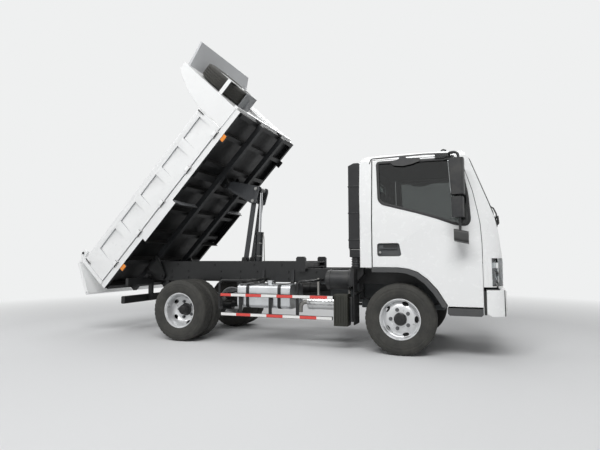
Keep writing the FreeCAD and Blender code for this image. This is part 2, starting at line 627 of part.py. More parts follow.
def rim_well(outer, inner):
    """The rim's channel between the bead planes, from the outer lip round to the inner one."""
    seat = "(rim_radius - 12 - weld_gap)"
    return [("rim_radius - 22", f"{outer} + 4"), ("rim_radius - 18", f"{outer} - 5"), ("rim_radius", f"{outer} - 5"),
            ("rim_radius", f"{outer} - weld_gap"), (seat, f"{outer} - weld_gap"),
            (seat, f"{inner} + weld_gap"), ("rim_radius", f"{inner} + weld_gap"), ("rim_radius", f"{inner} + 5"),
            ("rim_radius - 18", f"{inner} + 5"), ("rim_radius - 22", f"{inner} - 4")]


def hand_holes(radius, ring):
    """Five holes through a wheel's disc."""
    return [rod("Y", radius, (-1000, -660), (ring * math.sin(2 * math.pi * i / 5), ring * math.cos(2 * math.pi * i / 5)))
            for i in range(5)]


def wheel_nuts(ring, low, high):
    """Five wheel nuts on their pitch circle."""
    return [rod("Y", 14, (low, high), (ring * math.sin(2 * math.pi * (i + 0.5) / 5),
                                       ring * math.cos(2 * math.pi * (i + 0.5) / 5))) for i in range(5)]


def front_wheels():
    bead = "(tyre_width * 0.4)"
    rim = turned([("hub_bore", -95), (60, -95), (72, -60), (72, -34), (120, -34), (150, -44), (190, -20),
                  ("rim_radius - 22", -8)] + rim_well(f"-{bead}", bead)
                 + [("rim_radius - 22", 6), (150, -20), (150, 50), ("hub_bore", 50)])
    place(rim, 0, "-front_track", 0)
    cap = rod("Y", 60, ("-front_track - 110", "-front_track - 94"), (0, 0))
    nuts = wheel_nuts(104, "-front_track - 58", "-front_track - 30")
    keep_pair("tyre_front", join(tyre_ring("-front_track")), "front wheel")
    keep_pair("rim_front", join(cut(rim, *hand_holes(24, 175)), cap, *nuts), "front wheel")


def rear_wheels():
    inner = "(dual_outer - tyre_width - dual_gap)"
    bead = "(tyre_width * 0.4)"
    rim = turned([("hub_bore", "-dual_outer - 30"), (62, "-dual_outer - 30"), (75, "-dual_outer + 60"),
                  (110, "-dual_outer + 96"), (160, "-dual_outer + 70"), ("rim_radius - 22", "-dual_outer + 20")]
                 + rim_well(f"-dual_outer - {bead}", f"-{inner} + {bead}")
                 + [("rim_radius - 22", "-dual_outer + 130"), (150, "-dual_outer + 130"), (150, "-dual_outer + 150"),
                    ("hub_bore", "-dual_outer + 150")])
    nuts = wheel_nuts(104, "-dual_outer + 62", "-dual_outer + 100")
    keep_pair("tyres_rear", join(tyre_ring("-dual_outer"), tyre_ring(f"-{inner}")), "rear wheel")
    keep_pair("rims_rear", join(cut(rim, *hand_holes(26, 170)), *nuts), "rear wheel")


# ---- cab ---------------------------------------------------------------------------------------

ARCH = [(-297, 945), (0, 943), (100, 930), (200, 895), (300, 820), (400, 710), (505, 545)]
OPENING = [(-297, 893), (-10, 891), (80, 880), (170, 848), (262, 780), (355, 678), (452, 530)]
WINDOW = [(-228, 2122), (-208, 1700), (-172, 1655), (0, 1606), (200, 1550), (400, 1486), (600, 1408), (712, 1395),
          (740, 1440), (722, 1700), (690, 1880), (600, 2080), (570, 2110)]
SCREEN = [(-760, 1520), (760, 1520), (700, 2110), (-700, 2110)]
BACKLIGHT = [(-600, 1560), (600, 1560), (570, 2040), (-570, 2040)]


def cab_solid(inset):
    """The cab's outer form, or with an inset the room inside its walls."""
    side = prism("XZ", [(f"cab_rear + {inset}", 545), (f"858 - {inset}", 545), (f"858 - {inset}", 750),
                        (f"1045 - {inset}", 750), (f"1052 - {inset}", 1000), (f"1012 - {inset}", 1330),
                        (f"978 - {inset} * 1.1", 1480), (f"738 - {inset} * 1.1", f"2130 - {inset} * 0.5"),
                        (f"690 - {inset} * 0.9", f"2192 - {inset}"), (400, f"2212 - {inset}"),
                        (-200, f"2215 - {inset}"), (f"cab_rear + 40 + {inset}", f"2196 - {inset}"),
                        (f"cab_rear + {inset}", f"2120 - {inset}")], (-1000, 1000))
    half = f"(cab_half - {inset})"
    plan = prism("XY", [(f"cab_rear + {inset}", f"-{half}"), (f"1060 - {inset}", f"-{half}"),
                        (f"1060 - {inset}", half), (f"cab_rear + {inset}", half)], (300, 2400),
                 {f"200 - {inset}": [1, 2], 30: [0, 3]})
    front = prism("YZ", [(f"-{half}", 300), (half, 300), (half, 1480), (f"{half} - 64", f"2225 - {inset}"),
                         (f"64 - {half}", f"2225 - {inset}"), (f"-{half}", 1480)], (-1000, 1200),
                  {f"90 - {inset}": [3, 4]})
    return common(common(side, plan), front)


def door_outline(gap):
    """The right door's edge, drawn in by a gap: sill over the wheel arch, front post, roof rail, rear post."""
    g = gap
    return [(f"-297 + {g} * 2", f"945 + {g}"), (0, f"943 + {g}"), (f"100 + {g} * 0.3", f"930 + {g}"),
            (f"200 + {g} * 0.6", f"895 + {g}"), (f"300 + {g}", f"820 + {g} * 0.8"), (f"400 + {g}", f"710 + {g} * 0.7"),
            (f"505 + {g}", 545), (f"860 - {g}", 545), (f"858 - {g}", 1200), (f"846 - {g}", 1400),
            (f"820 - {g}", 1550), (f"780 - {g}", 1750), (f"702 - {g}", 2000), (f"592 - {g}", f"2150 - {g}"),
            (f"-297 + {g} * 2", f"2158 - {g}")]


def side_wall(extra):
    """The leaning side of the cab on the right, one wall thick and a little extra."""
    inner = f"(wall + {extra} - cab_half)"
    return prism("YZ", [(-1000, 400), (inner, 400), (inner, 1480), (f"{inner} + 64", "2225 - wall"),
                        (-1000, "2225 - wall")], (-500, 900))


def tilt_arm(side):
    """The arm under the cab floor that turns on the frame's horn."""
    arm = prism("XZ", [("cab_pivot_x + 26", "cab_pivot_z - 26"), ("cab_pivot_x + 26", "cab_pivot_z + 26"),
                       ("cab_pivot_x - 40", "cab_pivot_z + 60"), ("cab_pivot_x - 60", "floor_z + 18"),
                       ("cab_pivot_x - 115", "floor_z + 18"), ("cab_pivot_x - 110", "cab_pivot_z + 15"),
                       ("cab_pivot_x - 26", "cab_pivot_z - 26")], sided(side, 300, 340))
    return cut(arm, rod("Y", "cab_pin + spindle_gap", (-400, 400), ("cab_pivot_x", "cab_pivot_z")))


def cab():
    outer, inner = cab_solid("0"), cab_solid("wall")
    floor = "(floor_z + 60)"
    room = prism("XZ", [("cab_rear + wall", floor), (380, floor), (580, 720), (580, 590), ("858 - wall", 590),
                        ("858 - wall", floor), (1100, floor), (1100, 2400), ("cab_rear + wall", 2400)], (-1000, 1000))
    tunnel = box((-600, 1003), (-405, 405), (300, "floor_z"))
    tunnel_cover = box((-600, 1200), ("-405 - wall", "405 + wall"), (300, "floor_z + wall"))
    inside = cut(common(inner, room), tunnel_cover)
    arch = prism("XZ", [(-700, 300), (500, 300), (505, 545)] + ARCH[::-1][1:] + [(-700, 945)], (-1000, 1000))
    nose = box((880, 1003), ("wall - cab_half", "cab_half - wall"), (300, "floor_z + 15"))
    opening = common(prism("XZ", door_outline("0"), (-1000, -600)), side_wall("door_gap"))
    screen = prism("YZ", SCREEN, (500, 1200), {60: [0, 1, 2, 3]})
    back = prism("YZ", BACKLIGHT, (-700, -300), {50: [0, 1, 2, 3]})
    shell = cut(outer, inside, tunnel, arch, nose, opening, mirrored(opening), screen, back)
    front = prism("XZ", [(875, 700), (1200, 700), (1200, 1462), (960, 1462), (930, 1400), (875, 1210)],
                  (-1000, 1000))
    face_region = cut(front, box((860, 1003), ("wall - cab_half", "cab_half - wall"), ("floor_z + 10", 1000)))
    lamps = [prism("YZ", corners, (900, 1100)) for corners in (
        [(-870, 758), (-570, 758), (-650, 1045), (-870, 1045)], [(570, 758), (870, 758), (870, 1045), (650, 1045)])]
    grille = [box((1020, 1100), ("-grille_half", "grille_half"), (z, z + 20)) for z in (800, 838, 876, 914)]
    keep("cab_shell", join(cut(shell, face_region), *both(tilt_arm)))
    keep("front_panel", cut(common(shell, face_region), *lamps, *grille))
    lamp_room = box((860, "1003 + weld_gap"), ("wall - cab_half - weld_gap", "cab_half - wall + weld_gap"), (700, 1100))
    keep("headlamps", cut(common(outer, join(*lamps)), lamp_room))
    pane = prism("XZ", [("978 - 14 - glass", 1480), ("978 - 14", 1480), ("738 - 14", 2130), ("738 - 14 - glass", 2130)],
                 (-820, 820))
    fit = [(f"{y} - ({y}) / abs({y}) * weld_gap", f"{z} + weld_gap" if z < 1800 else f"{z} - weld_gap")
           for y, z in SCREEN]
    front_glass = common(pane, prism("YZ", fit, (500, 1200), {60: [0, 1, 2, 3]}))
    rear_glass = prism("YZ", BACKLIGHT, ("cab_rear + 12", "cab_rear + 12 + glass"), {50: [0, 1, 2, 3]})
    keep("cab_glass", join(front_glass, rear_glass))
    return outer


def doors(outer):
    """The right door with its window opening, the recess that its handle lies in, and its hinge leaves."""
    window = prism("XZ", WINDOW, (-1000, -600))
    slab = common(prism("XZ", door_outline("door_gap"), (-1000, -600)), side_wall("0"))
    recess = prism("XZ", [(-232, 1068), (35, 1068), (8, 1212), (-232, 1212)], (-1000, "24 - cab_half"),
                   {26: [0, 1, 2, 3]})
    grip = prism("XZ", [(-205, 1150), (-10, 1150), (-16, 1190), (-205, 1190)], ("3 - cab_half", "15 - cab_half"),
                 {12: [0, 1, 2, 3]})
    posts = [rod("Y", 12, ("12 - cab_half", "30 - cab_half"), (x, 1170)) for x in (-180, -40)]
    hinges = [box((820, 846), ("wall - cab_half - 6", "wall - cab_half + door_gap - weld_gap"), (z, z + 90))
              for z in (640, 1240)]
    door = cut(common(outer, slab), window, recess)
    keep_pair("door", join(door, grip, *posts, *hinges))
    pane = prism("YZ", [("16 - cab_half", 1380), ("16 - cab_half + glass", 1380), ("16 - cab_half + glass", 1480),
                        ("16 - cab_half + glass + 64", 2225), ("16 - cab_half + 64", 2225), ("16 - cab_half", 1480)],
                 (-400, 900))
    keep_pair("door_glass", common(pane, prism("XZ", WINDOW, (-1000, -600))))


def flare(side):
    return prism("XZ", ARCH[:-1] + [(503, 542)] + OPENING[::-1], sided(side, 812, 866))


def arch_flares():
    keep("arch_flares", join(*both(flare)))


def cabin():
    """Dashboard with the steering column and wheel, and the three seats."""
    dash = prism("XZ", [(820, 1060), (1002.4, 1060), (969.7, 1330), (931.5, 1480), (760, 1440), (720, 1300),
                        (790, 1200)], (-700, 700))
    cluster = prism("XZ", [(700, 1310), (760, 1436), (800, 1460), (800, 1300)], (260, 540), {16: [2]})
    column = prism("XZ", [(535, 1303), (565, 1319), (730, 1330), (790, 1200), (640, 1140)], (370, 430))
    rim = doc.addObject("Part::Torus", "rim")
    rim.Radius1, rim.Radius2 = 205, 14
    hub = doc.addObject("Part::Cylinder", "hub")
    hub.Radius, hub.Height = 48, 40
    hub.Placement.Base.z = -22
    spokes = doc.addObject("Part::Box", "spokes")
    spokes.Length, spokes.Width, spokes.Height = 400, 40, 12
    spokes.Placement.Base = FreeCAD.Vector(-200, -20, -8)
    wheel = join(rim, hub, spokes)
    tilt = FreeCAD.Rotation(FreeCAD.Vector(0, -1, 0), 28)
    wheel.Placement = FreeCAD.Placement(FreeCAD.Vector(549, 400, 1324), tilt)
    keep("dashboard", join(dash, cluster, column, wheel))
    seats = []
    for low, high in ((-760, -300), (-270, 120), (170, 640)):
        middle = (low + high) / 2
        seats.append(join(
            prism("XZ", [(-340, "floor_z + 60"), (170, "floor_z + 60"), (190, 1060), (-330, 1060)],
                  (low + 40, high - 40)),
            prism("XZ", [(-330, 1060), (190, 1060), (212, 1120), (180, 1180), (-180, 1165), (-330, 1160)],
                  (low, high), {24: [2, 3]}),
            prism("XZ", [(-300, 1150), (-180, 1150), (-255, 1700), (-330, 1700), (-372, 1660)], (low + 10, high - 10),
                  {24: [2, 3]}),
            prism("XZ", [(-352, 1730), (-280, 1730), (-290, 1900), (-352, 1900)], (middle - 130, middle + 130),
                  {20: [2, 3]}),
            *[rod("Z", 8, (1690, 1740), (-315, middle + dy)) for dy in (-60, 60)]))
    keep("seats", join(*seats))


def mirror_head(rear, front, reach, z, round_off):
    """A mirror's housing with the recess for its glass in the rear face."""
    out, inward = reach
    shell = prism("XY", [(rear, f"-mirror_y - {out}"), (front - 12, f"-mirror_y - {out} - 15"),
                         (front, f"-mirror_y + {inward - 20}"), (rear + 15, f"-mirror_y + {inward}")], z,
                  {round_off: [0, 1, 2, 3]})
    pocket = prism("XY", [(rear - 20, f"-mirror_y - {out - 12}"), (rear + 7, f"-mirror_y - {out - 12}"),
                          (rear + 19, f"-mirror_y + {inward - 16}"), (rear - 20, f"-mirror_y + {inward - 16}")],
                   (z[0] + 12, z[1] - 12))
    return cut(shell, pocket)


def mirrors():
    """Right-hand mirrors: main, wide-angle and kerb view, on one bent tube from the roof rail to the door."""
    main = mirror_head(545, 712, (75, 80), (1692, 2067), 30)
    wide = mirror_head(575, 700, (70, 65), (1462, 1668), 25)
    kerb = prism("YZ", [("-mirror_y - 90", 1215), ("-mirror_y + 62", 1200), ("-mirror_y + 50", 1322),
                        ("-mirror_y - 78", 1330)], (592, 732), {26: [0, 1, 2, 3]})
    arm = tube("mirror_tube", 45, (560, -806.6, 2138), ("Y", -1, "-mirror_y - 5"), ("X", 1, 652), ("Z", -1, 1300))
    foot = prism("XZ", [(500, 2104), (600, 2104), (590, 2148), (520, 2148)], (-818, -806.6), {8: [2, 3]})
    lower = rod("Y", "mirror_tube", ("-mirror_y - 5", "-cab_half - weld_gap"), (662, 1285))
    shoe = box((632, 692), ("-cab_half - 8", "-cab_half - weld_gap"), (1262, 1308))
    keep_pair("mirror", join(main, wide, kerb, arm, foot, lower, shoe))


def snorkel():
    """The raised air intake behind the cab: a flat plastic duct, its hooded mouth, and bellows at its foot."""
    duct = prism("XZ", [(-585, 1160), (-442, 1160), (-442, 2150), (-520, 2150), (-585, 2120)], (-760, -600),
                 {30: [2, 3]})
    seams = [box((-590, -438), (-765, -595), (z, z + 14)) for z in (1250, 1560, 1870)]
    slots = [box((-600, -560), (-740, -620), (z, z + 16)) for z in (1960, 1992, 2024, 2056)]
    cone = prism("XZ", [(-580, 1160), (-447, 1160), (-447, 1060), (-580, 1060)], (-740, -620))
    folds = [rod("Z", radius, (z, z + 14), (-515, -665)) for z, radius in
             ((945.3, 62), (959, 54), (973, 62), (987, 54), (1001, 62), (1015, 54), (1029, 62), (1043, 54))]
    neck = rod("Z", 62, (1056, 1066), (-515, -665))
    stays = [box((-443, "cab_rear - weld_gap"), (-720, -640), (z, z + 60)) for z in (1300, 1950)]
    keep("snorkel", join(cut(duct, *slots), *seams, cone, *folds, neck, *stays))


# ---- bed ---------------------------------------------------------------------------------------

# the hoist's pin on the bed, in the bed's own axes about the tipping pivot
LIFT_X = "(cos(bed_angle * 1 deg) * lift_bed_ahead + sin(bed_angle * 1 deg) * lift_bed_above)"
LIFT_Z = "(cos(bed_angle * 1 deg) * lift_bed_above - sin(bed_angle * 1 deg) * lift_bed_ahead)"
HINGES = [(325, 430), (885, 990), (1410, 1515), (1990, 2095), (2575, 2680)]
POCKETS = [(345, 720), (850, 1200), (1320, 1680), (1810, 2170), (2300, 2655)]
SILL_TOP = "(42 - bearer_height)"


def U(text):
    return f"({text}) - pivot_u"


def W(text):
    return f"({text}) + pivot_w"


def bed_box(u, y, w):
    return box((U(u[0]), U(u[1])), y, (W(w[0]), W(w[1])))


def bed_prism(outline, span, rounds=None):
    return prism("XZ", [(U(u), W(w)) for u, w in outline], span, rounds)


def edge_rail(side):
    """The rail along one edge of the floor, with the hinge knuckles and pins of its side gate."""
    rail = bed_box((0, "bed_length"), sided(side, "bed_half - 60", "bed_half - 14"), (-20, 58))
    y = f"({side}) * (bed_half + 2)"
    hinge_w = W("gate_low - 4")
    pieces = [rail]
    for rear, front in HINGES:
        for u in (rear, front - 14):
            pieces.append(rod("X", 9, (U(u), U(u + 14)), (y, hinge_w)))
            pieces.append(bed_box((u, u + 14), sided(side, "bed_half - 18", "bed_half + 2"),
                                  ("gate_low - 13", "gate_low - 5")))
        pieces.append(rod("X", 4.5, (U(rear), U(front)), (y, hinge_w)))
    return join(*pieces)


def skirt(side):
    """The deeper edge over the rear wheels, with its two cross plates."""
    plate = bed_box((920, 1600), sided(side, "bed_half - 34", "bed_half - 14"), (-80, -20))
    cross = [bed_box((u, u + 6), sided(side, "sill_half + 40", "bed_half - 20"), (-110, f"{SILL_TOP} - weld_gap"))
             for u in (921, 1593)]
    return join(plate, *cross)


def long_sill(side):
    """One of the two sills that the bed stands on, with its tipping bracket."""
    sill = bed_box((0, "bed_length"), sided(side, "sill_half + 6 - sill_width", "sill_half + 6"),
                   ("-sill_height", f"{SILL_TOP} - weld_gap"))
    bracket = prism("XZ", [(-46, -46), (46, -46), (170, "pivot_w - 50"), (-170, "pivot_w - 50")],
                    sided(side, "sill_half + 6", "sill_half + 30"), {44: [0, 1]})
    ribs = [prism("XZ", [(x, "pivot_w - 120"), (x + 8, "pivot_w - 120"), (x + 8, "pivot_w - 50"), (x, "pivot_w - 50")],
                  sided(side, "sill_half + 30", "sill_half + 52")) for x in (-90, 82)]
    bore = rod("Y", "pivot_pin + spindle_gap", (-600, 600), (0, 0))
    return cut(join(sill, bracket, *ribs), bore)


def lift_beam():
    """The cross beam that the hoist pushes on, over the sills, with its two pin ears."""
    beam = box((f"{LIFT_X} - 50", f"{LIFT_X} + 50"), ("60 + weld_gap - bed_half", "bed_half - 60 - weld_gap"),
               (W(SILL_TOP), W("50 - floor_plate - weld_gap")))
    ears = [prism("XZ", [(f"{LIFT_X} - 60", W(0)), (f"{LIFT_X} + 120", W(0)), (f"{LIFT_X} + 40", f"{LIFT_Z} - 40"),
                         (f"{LIFT_X} - 40", f"{LIFT_Z} - 40")],
                  sided(side, "lift_half + 4", "lift_half + 29"), {30: [2, 3]}) for side in (-1, 1)]
    bore = rod("Y", "hoist_pin + spindle_gap", (-300, 300), (LIFT_X, LIFT_Z))
    return cut(join(beam, *ears), bore)


def rear_post(side):
    """A corner post with the pin from which the tailgate hangs."""
    post = bed_prism([(2, 58.3), ("gate_rear - 6", 58.3), ("gate_rear - 6", 505), (150, 545),
                      ("tail_pin_u + 34", "tail_pin_w + 30"), ("tail_pin_u - 34", "tail_pin_w + 30"),
                      (2, 520)], sided(side, "bed_half - 40", "bed_half"))
    pin = rod("Y", "gate_pin", sided(side, "bed_half - 80", "bed_half - 30"), (U("tail_pin_u"), W("tail_pin_w")))
    collar = rod("Y", 24, sided(side, "bed_half - 2", "bed_half + 6"), (U("tail_pin_u"), W("tail_pin_w")))
    return join(post, pin, collar)


def bed_floor():
    """The welded floor: plate, edge rails, cross bearers, long sills and rear posts."""
    plate = bed_box((0, "bed_length"), ("60 + weld_gap - bed_half", "bed_half - 60 - weld_gap"),
                    ("50 - floor_plate", 50))
    bearers = [bed_box((u, f"{u} + 60"), ("60 + weld_gap - bed_half", "bed_half - 60 - weld_gap"),
                       (SILL_TOP, "50 - floor_plate - weld_gap"))
               for u in (0, 480, 1000, 1400, 1790, 2230, 2660, "bed_length - 60")]
    keep("bed_floor", join(plate, *both(edge_rail), *both(skirt), *bearers, *both(long_sill), lift_beam(),
                           *both(rear_post)), "bed")


def headboard():
    """The front wall with its wings, the ribs on its front and the guard over the cab."""
    board = bed_box(("bed_length - headboard_thick", "bed_length"), ("6 - bed_half", "bed_half - 6"),
                    (58.3, "headboard_height"))
    wings = [bed_prism([("wing_rear", 58.3), ("wing_rear", 520), ("wing_rear + 60", 800),
                        ("wing_rear + 140", 1000), ("wing_rear + 210", "headboard_height"),
                        ("bed_length", "headboard_height"), ("bed_length", 58.3)],
                       sided(side, "bed_half - gate_thick", "bed_half")) for side in (-1, 1)]
    ribs = [bed_prism([("bed_length", 62), ("bed_length + 34", 80), ("bed_length + 34", 1080), ("bed_length", 1100)],
                      (y, y + 50)) for y in (60, 330, 600)]
    sill = bed_box(("bed_length", "bed_length + 28"), ("30 - bed_half", "bed_half - 30"), (60, 110))
    canopy = bed_prism([("bed_length - 40", "headboard_height - 5"), ("bed_length - 40", "headboard_height + 22"),
                        (3385, 1296), (3391, 1272), ("bed_length", "headboard_height")],
                       ("110 - bed_half", "bed_half - 110"))
    trim = prism("XY", [(U("bed_length - 60"), "110 - bed_half"), (U(3391), -682), (U(3391), 682),
                        (U("bed_length - 60"), "bed_half - 110")], (0, 3000))
    gussets = [bed_prism([("bed_length", "headboard_height - 120"), ("bed_length + 200", "headboard_height + 62"),
                          ("bed_length + 200", "headboard_height + 84"), ("bed_length - 2", "headboard_height + 2")],
                         (y, y + 10)) for y in (60, 640)]
    keep("headboard", join(board, *wings, *ribs, sill, common(canopy, trim), *gussets), "bed")


def across_bed(piece):
    """Stand a wheel's piece against the headboard, its axle along the bed."""
    piece.Placement = FreeCAD.Placement(FreeCAD.Vector(), FreeCAD.Rotation(FreeCAD.Vector(0, 0, 1), 90))
    place(piece, U("bed_length + 5 + tyre_width / 2"), -420, W(680))
    return join(piece)


def spare_wheel():
    """The spare against the headboard, in a tray, with a strap round its outer side."""
    keep("spare_tyre", across_bed(join(tyre_ring(0))), "bed")
    bead = "(tyre_width * 0.4)"
    disc = turned([(0, -40), (150, -40), (190, -20), ("rim_radius - 22", -8)] + rim_well(f"-{bead}", bead)
                  + [("rim_radius - 22", 6), (150, -20), (0, -20)])
    low = "(680 - tyre_radius)"
    front = "(bed_length + 5 + tyre_width)"
    post = rod("X", 30, (U("bed_length"), U("bed_length + 150")), (-420, W(680)))
    tray = bed_box(("bed_length", f"{front} + 12"), (-560, -280), (f"{low} - 8", f"{low} - weld_gap"))
    lip = bed_box((front + " + 4", front + " + 12"), (-560, -280), (f"{low} - 8", f"{low} + 40"))
    knee = bed_prism([("bed_length", f"{low} - 90"), ("bed_length", f"{low} - 4"), (f"{front} - 40", f"{low} - 4")],
                     (-430, -410))
    outer = "(-420 - tyre_radius)"
    strap = bed_box(("bed_length", f"{front} + 10"), (f"{outer} - 8", f"{outer} - 2"), (420, 480))
    wrap = bed_box((f"{front} + 4", f"{front} + 10"), (f"{outer} - 8", -420), (420, 480))
    keep("spare_carrier", join(across_bed(join(disc)), post, tray, lip, knee, strap, wrap), "bed")


def side_gates():
    panel = bed_box(("gate_rear", "gate_front"), ("-bed_half", "gate_thick - bed_half"),
                    ("gate_low + 9", "gate_height"))
    pressed = [prism("YZ", [("-bed_half - 1", W(150)), ("24 - bed_half", W(415)), ("-bed_half - 1", W(415))],
                     (U(rear), U(front))) for rear, front in POCKETS]
    y, w = "-bed_half - 2", W("gate_low - 4")
    knuckles = [rod("X", 9, (U(rear + 15), U(front - 15)), (y, w)) for rear, front in HINGES]
    leaves = [bed_box((rear + 15, front - 15), ("-bed_half - 11", "-bed_half"), ("gate_low - 4", "gate_low + 40"))
              for rear, front in HINGES]
    bore = rod("X", 4.9, (U(0), U(3000)), (y, w))
    catches = [bed_box((u, u + 26), ("-bed_half - 8", "-bed_half"), (430, 492)) for u in (72, 2700)]
    keep_pair("side_gate", cut(join(cut(panel, *pressed), *knuckles, *leaves, *catches), bore), "bed")


def tail_arm(side):
    """The arm by which the tailgate hangs from its pin."""
    return prism("XZ", [(U(-30), W(400)), (U(-6), W(400)), (U(-2), W(515)),
                        (U("tail_pin_u + 20"), W("tail_pin_w - 24")), (U("tail_pin_u + 26"), W("tail_pin_w + 20")),
                        (U("tail_pin_u - 20"), W("tail_pin_w + 26")), (U(-44), W(520)), (U(-44), W(400))],
                 sided(side, "bed_half - 70", "bed_half - 46"))


def tailgate():
    """The top-hung tailgate with its pressed panels, drawn closed and then swung open about its pins."""
    outer = "(0 - tail_thick - 6)"
    gate = prism("XZ", [(U(outer), W(22)), (U(-6), W(22)), (U(-6), W(490)), (U(outer), W(490))],
                 ("4 - bed_half", "bed_half - 4"))
    pressed = [prism("XY", [(U(f"{outer} - 5"), low), (U(f"{outer} - 5"), high), (U(f"{outer} + 16"), high - 16),
                            (U(f"{outer} + 16"), low + 16)], (W(90), W(410)))
               for low, high in ((-830, -460), (-410, -30), (30, 410), (460, 830))]
    catch_pins = [rod("Y", 13, sided(side, "bed_half - 30", "bed_half + 10"), (U("-6 - tail_thick / 2"), W(60)))
                  for side in (-1, 1)]
    bore = rod("Y", "gate_pin + 0.4", (-2000, 2000), (U("tail_pin_u"), W("tail_pin_w")))
    closed = cut(join(cut(gate, *pressed), *both(tail_arm), *catch_pins), bore)
    place(closed, f"-({U('tail_pin_u')})", 0, f"-({W('tail_pin_w')})")
    swung = join(closed)
    swung.Placement = FreeCAD.Placement(FreeCAD.Vector(), FreeCAD.Rotation(FreeCAD.Vector(0, 1, 0), 1))
    bind(swung, "Placement.Rotation.Angle", "tail_angle * 1 deg")
    place(swung, U("tail_pin_u"), 0, W("tail_pin_w"))
    keep("tailgate", join(swung), "bed")


# ---- hoist -------------------------------------------------------------------------------------

def cheek(side):
    """One of the two lift plates, bossed at the ram and pull rod pins, with its stub on the bed's ear."""
    bed_pin, ram_pin = ("lift_bed_x", "lift_bed_z"), ("lift_ram_x", "lift_ram_z")
    link_pin = ("lift_link_x", "lift_link_z")
    plate = prism("XZ", [("lift_bed_x - 42", "lift_bed_z - 20"), ("lift_link_x - 36", "lift_link_z - 30"),
                         ("lift_link_x + 40", "lift_link_z - 36"), ("lift_ram_x + 44", "lift_ram_z - 20"),
                         ("lift_ram_x + 40", "lift_ram_z + 34"), ("lift_bed_x + 120", "lift_bed_z + 56"),
                         ("lift_bed_x - 20", "lift_bed_z + 40")],
                  sided(side, "lift_half - lift_plate", "lift_half"), {20: [0, 1, 2, 4, 6]})
    bosses = [rod("Y", 32, sided(side, "lift_half - lift_plate", "lift_half + 6"), pin) for pin in (ram_pin, link_pin)]
    ram_stub = rod("Y", "hoist_pin", sided(side, 61, "lift_half"), ram_pin)
    bed_stub = rod("Y", "hoist_pin", sided(side, "lift_half", "lift_half + 24"), bed_pin)
    return join(plate, *bosses, ram_stub, bed_stub)


def lift_plates():
    cross = rod("Y", 26, ("-lift_half", "lift_half"), ("lift_bed_x + 120", "lift_bed_z - 30"))
    keep("lift_plates", join(*both(cheek), cross))


def lean(piece, dx, dz, foot):
    """Turn an upright piece about its foot so that it points along (dx, dz), and stand it there."""
    piece.Placement = FreeCAD.Placement(FreeCAD.Vector(), FreeCAD.Rotation(FreeCAD.Vector(0, 1, 0), 1))
    bind(piece, "Placement.Rotation.Angle", f"atan2({dx}; {dz})")
    place(piece, foot[0], 0, foot[1])
    return join(piece)


def pull_rods():
    """Two flat bars from the subframe's ears to the lift plates."""
    dx, dz = "(lift_link_x - link_foot_x)", "(lift_link_z - link_foot_z)"
    length = f"sqrt({dx}^2 + {dz}^2)"
    bars = []
    for low in ("-98 - link_thick", "98"):
        span = (low, f"{low} + link_thick")
        bars += [box((-34, 34), span, (0, length)), *[rod("Y", 44, span, (0, z)) for z in (0, length)]]
    holes = [rod("Y", "hoist_pin + spindle_gap", (-300, 300), (0, z)) for z in (0, length)]
    keep("pull_rods", lean(cut(join(*bars), *holes), dx, dz, ("link_foot_x", "link_foot_z")))


def ram():
    """The hydraulic ram: barrel on the frame's pin, rod with its eye on the lift plates."""
    dx, dz = "(lift_ram_x - ram_foot_x)", "(lift_ram_z - ram_foot_z)"
    reach = f"sqrt({dx}^2 + {dz}^2)"
    barrel = rod("Z", "ram_radius", (30, "ram_barrel"), (0, 0))
    foot = rod("Y", 48, (-45, 45), (0, 0))
    gland = rod("Z", "ram_radius + 8", ("ram_barrel - 40", "ram_barrel"), (0, 0))
    band = rod("Z", "ram_radius + 5", (96, 116), (0, 0))
    port = rod("X", 15, ("ram_radius - 10", "ram_radius + 24"), (0, 150))
    foot_bore = rod("Y", "hoist_pin + spindle_gap", (-100, 100), (0, 0))
    chamber = rod("Z", "ram_rod + spindle_gap", (62, "ram_barrel + 10"), (0, 0))
    body = cut(join(barrel, foot, gland, band, port), foot_bore, chamber)
    piston_rod = rod("Z", "ram_rod", ("ram_barrel - 55", f"{reach} - 20"), (0, 0))
    eye = rod("Y", 44, (-60, 60), (0, reach))
    for name, piece in (("hoist_barrel", body), ("hoist_rod", join(piston_rod, eye))):
        keep(name, lean(piece, dx, dz, ("ram_foot_x", "ram_foot_z")))


chassis_frame()
subframe()
knuckle()
rear_axle()
leaf_springs()
engine_block()
fuel_tank()
muffler()
battery_box()
air_cleaner()
side_guards()
underrun_bar()
bumper()
steps()
front_wheels()
rear_wheels()
doors(cab())
arch_flares()
cabin()
mirrors()
snorkel()
bed_floor()
headboard()
spare_wheel()
side_gates()
tailgate()
lift_plates()
pull_rods()
ram()
doc.recompute()

for obj in doc.Objects:
    if "Invalid" in obj.State or "Error" in obj.State:
        raise RuntimeError(f"{obj.Name} ({obj.Label}) failed: {obj.State}")
for obj in parts:
    if obj.Shape.isNull() or not obj.Shape.isValid() or not obj.Shape.Solids:
        raise RuntimeError(f"{obj.Label} has no valid solid")
os.makedirs("parts", exist_ok=True)
for obj in parts:
    obj.Shape.exportStep(f"parts/{obj.Label}.step")
print(len(parts), "sub-parts")
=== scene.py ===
import math

import bmesh
import bpy
from mathutils import Matrix, Vector


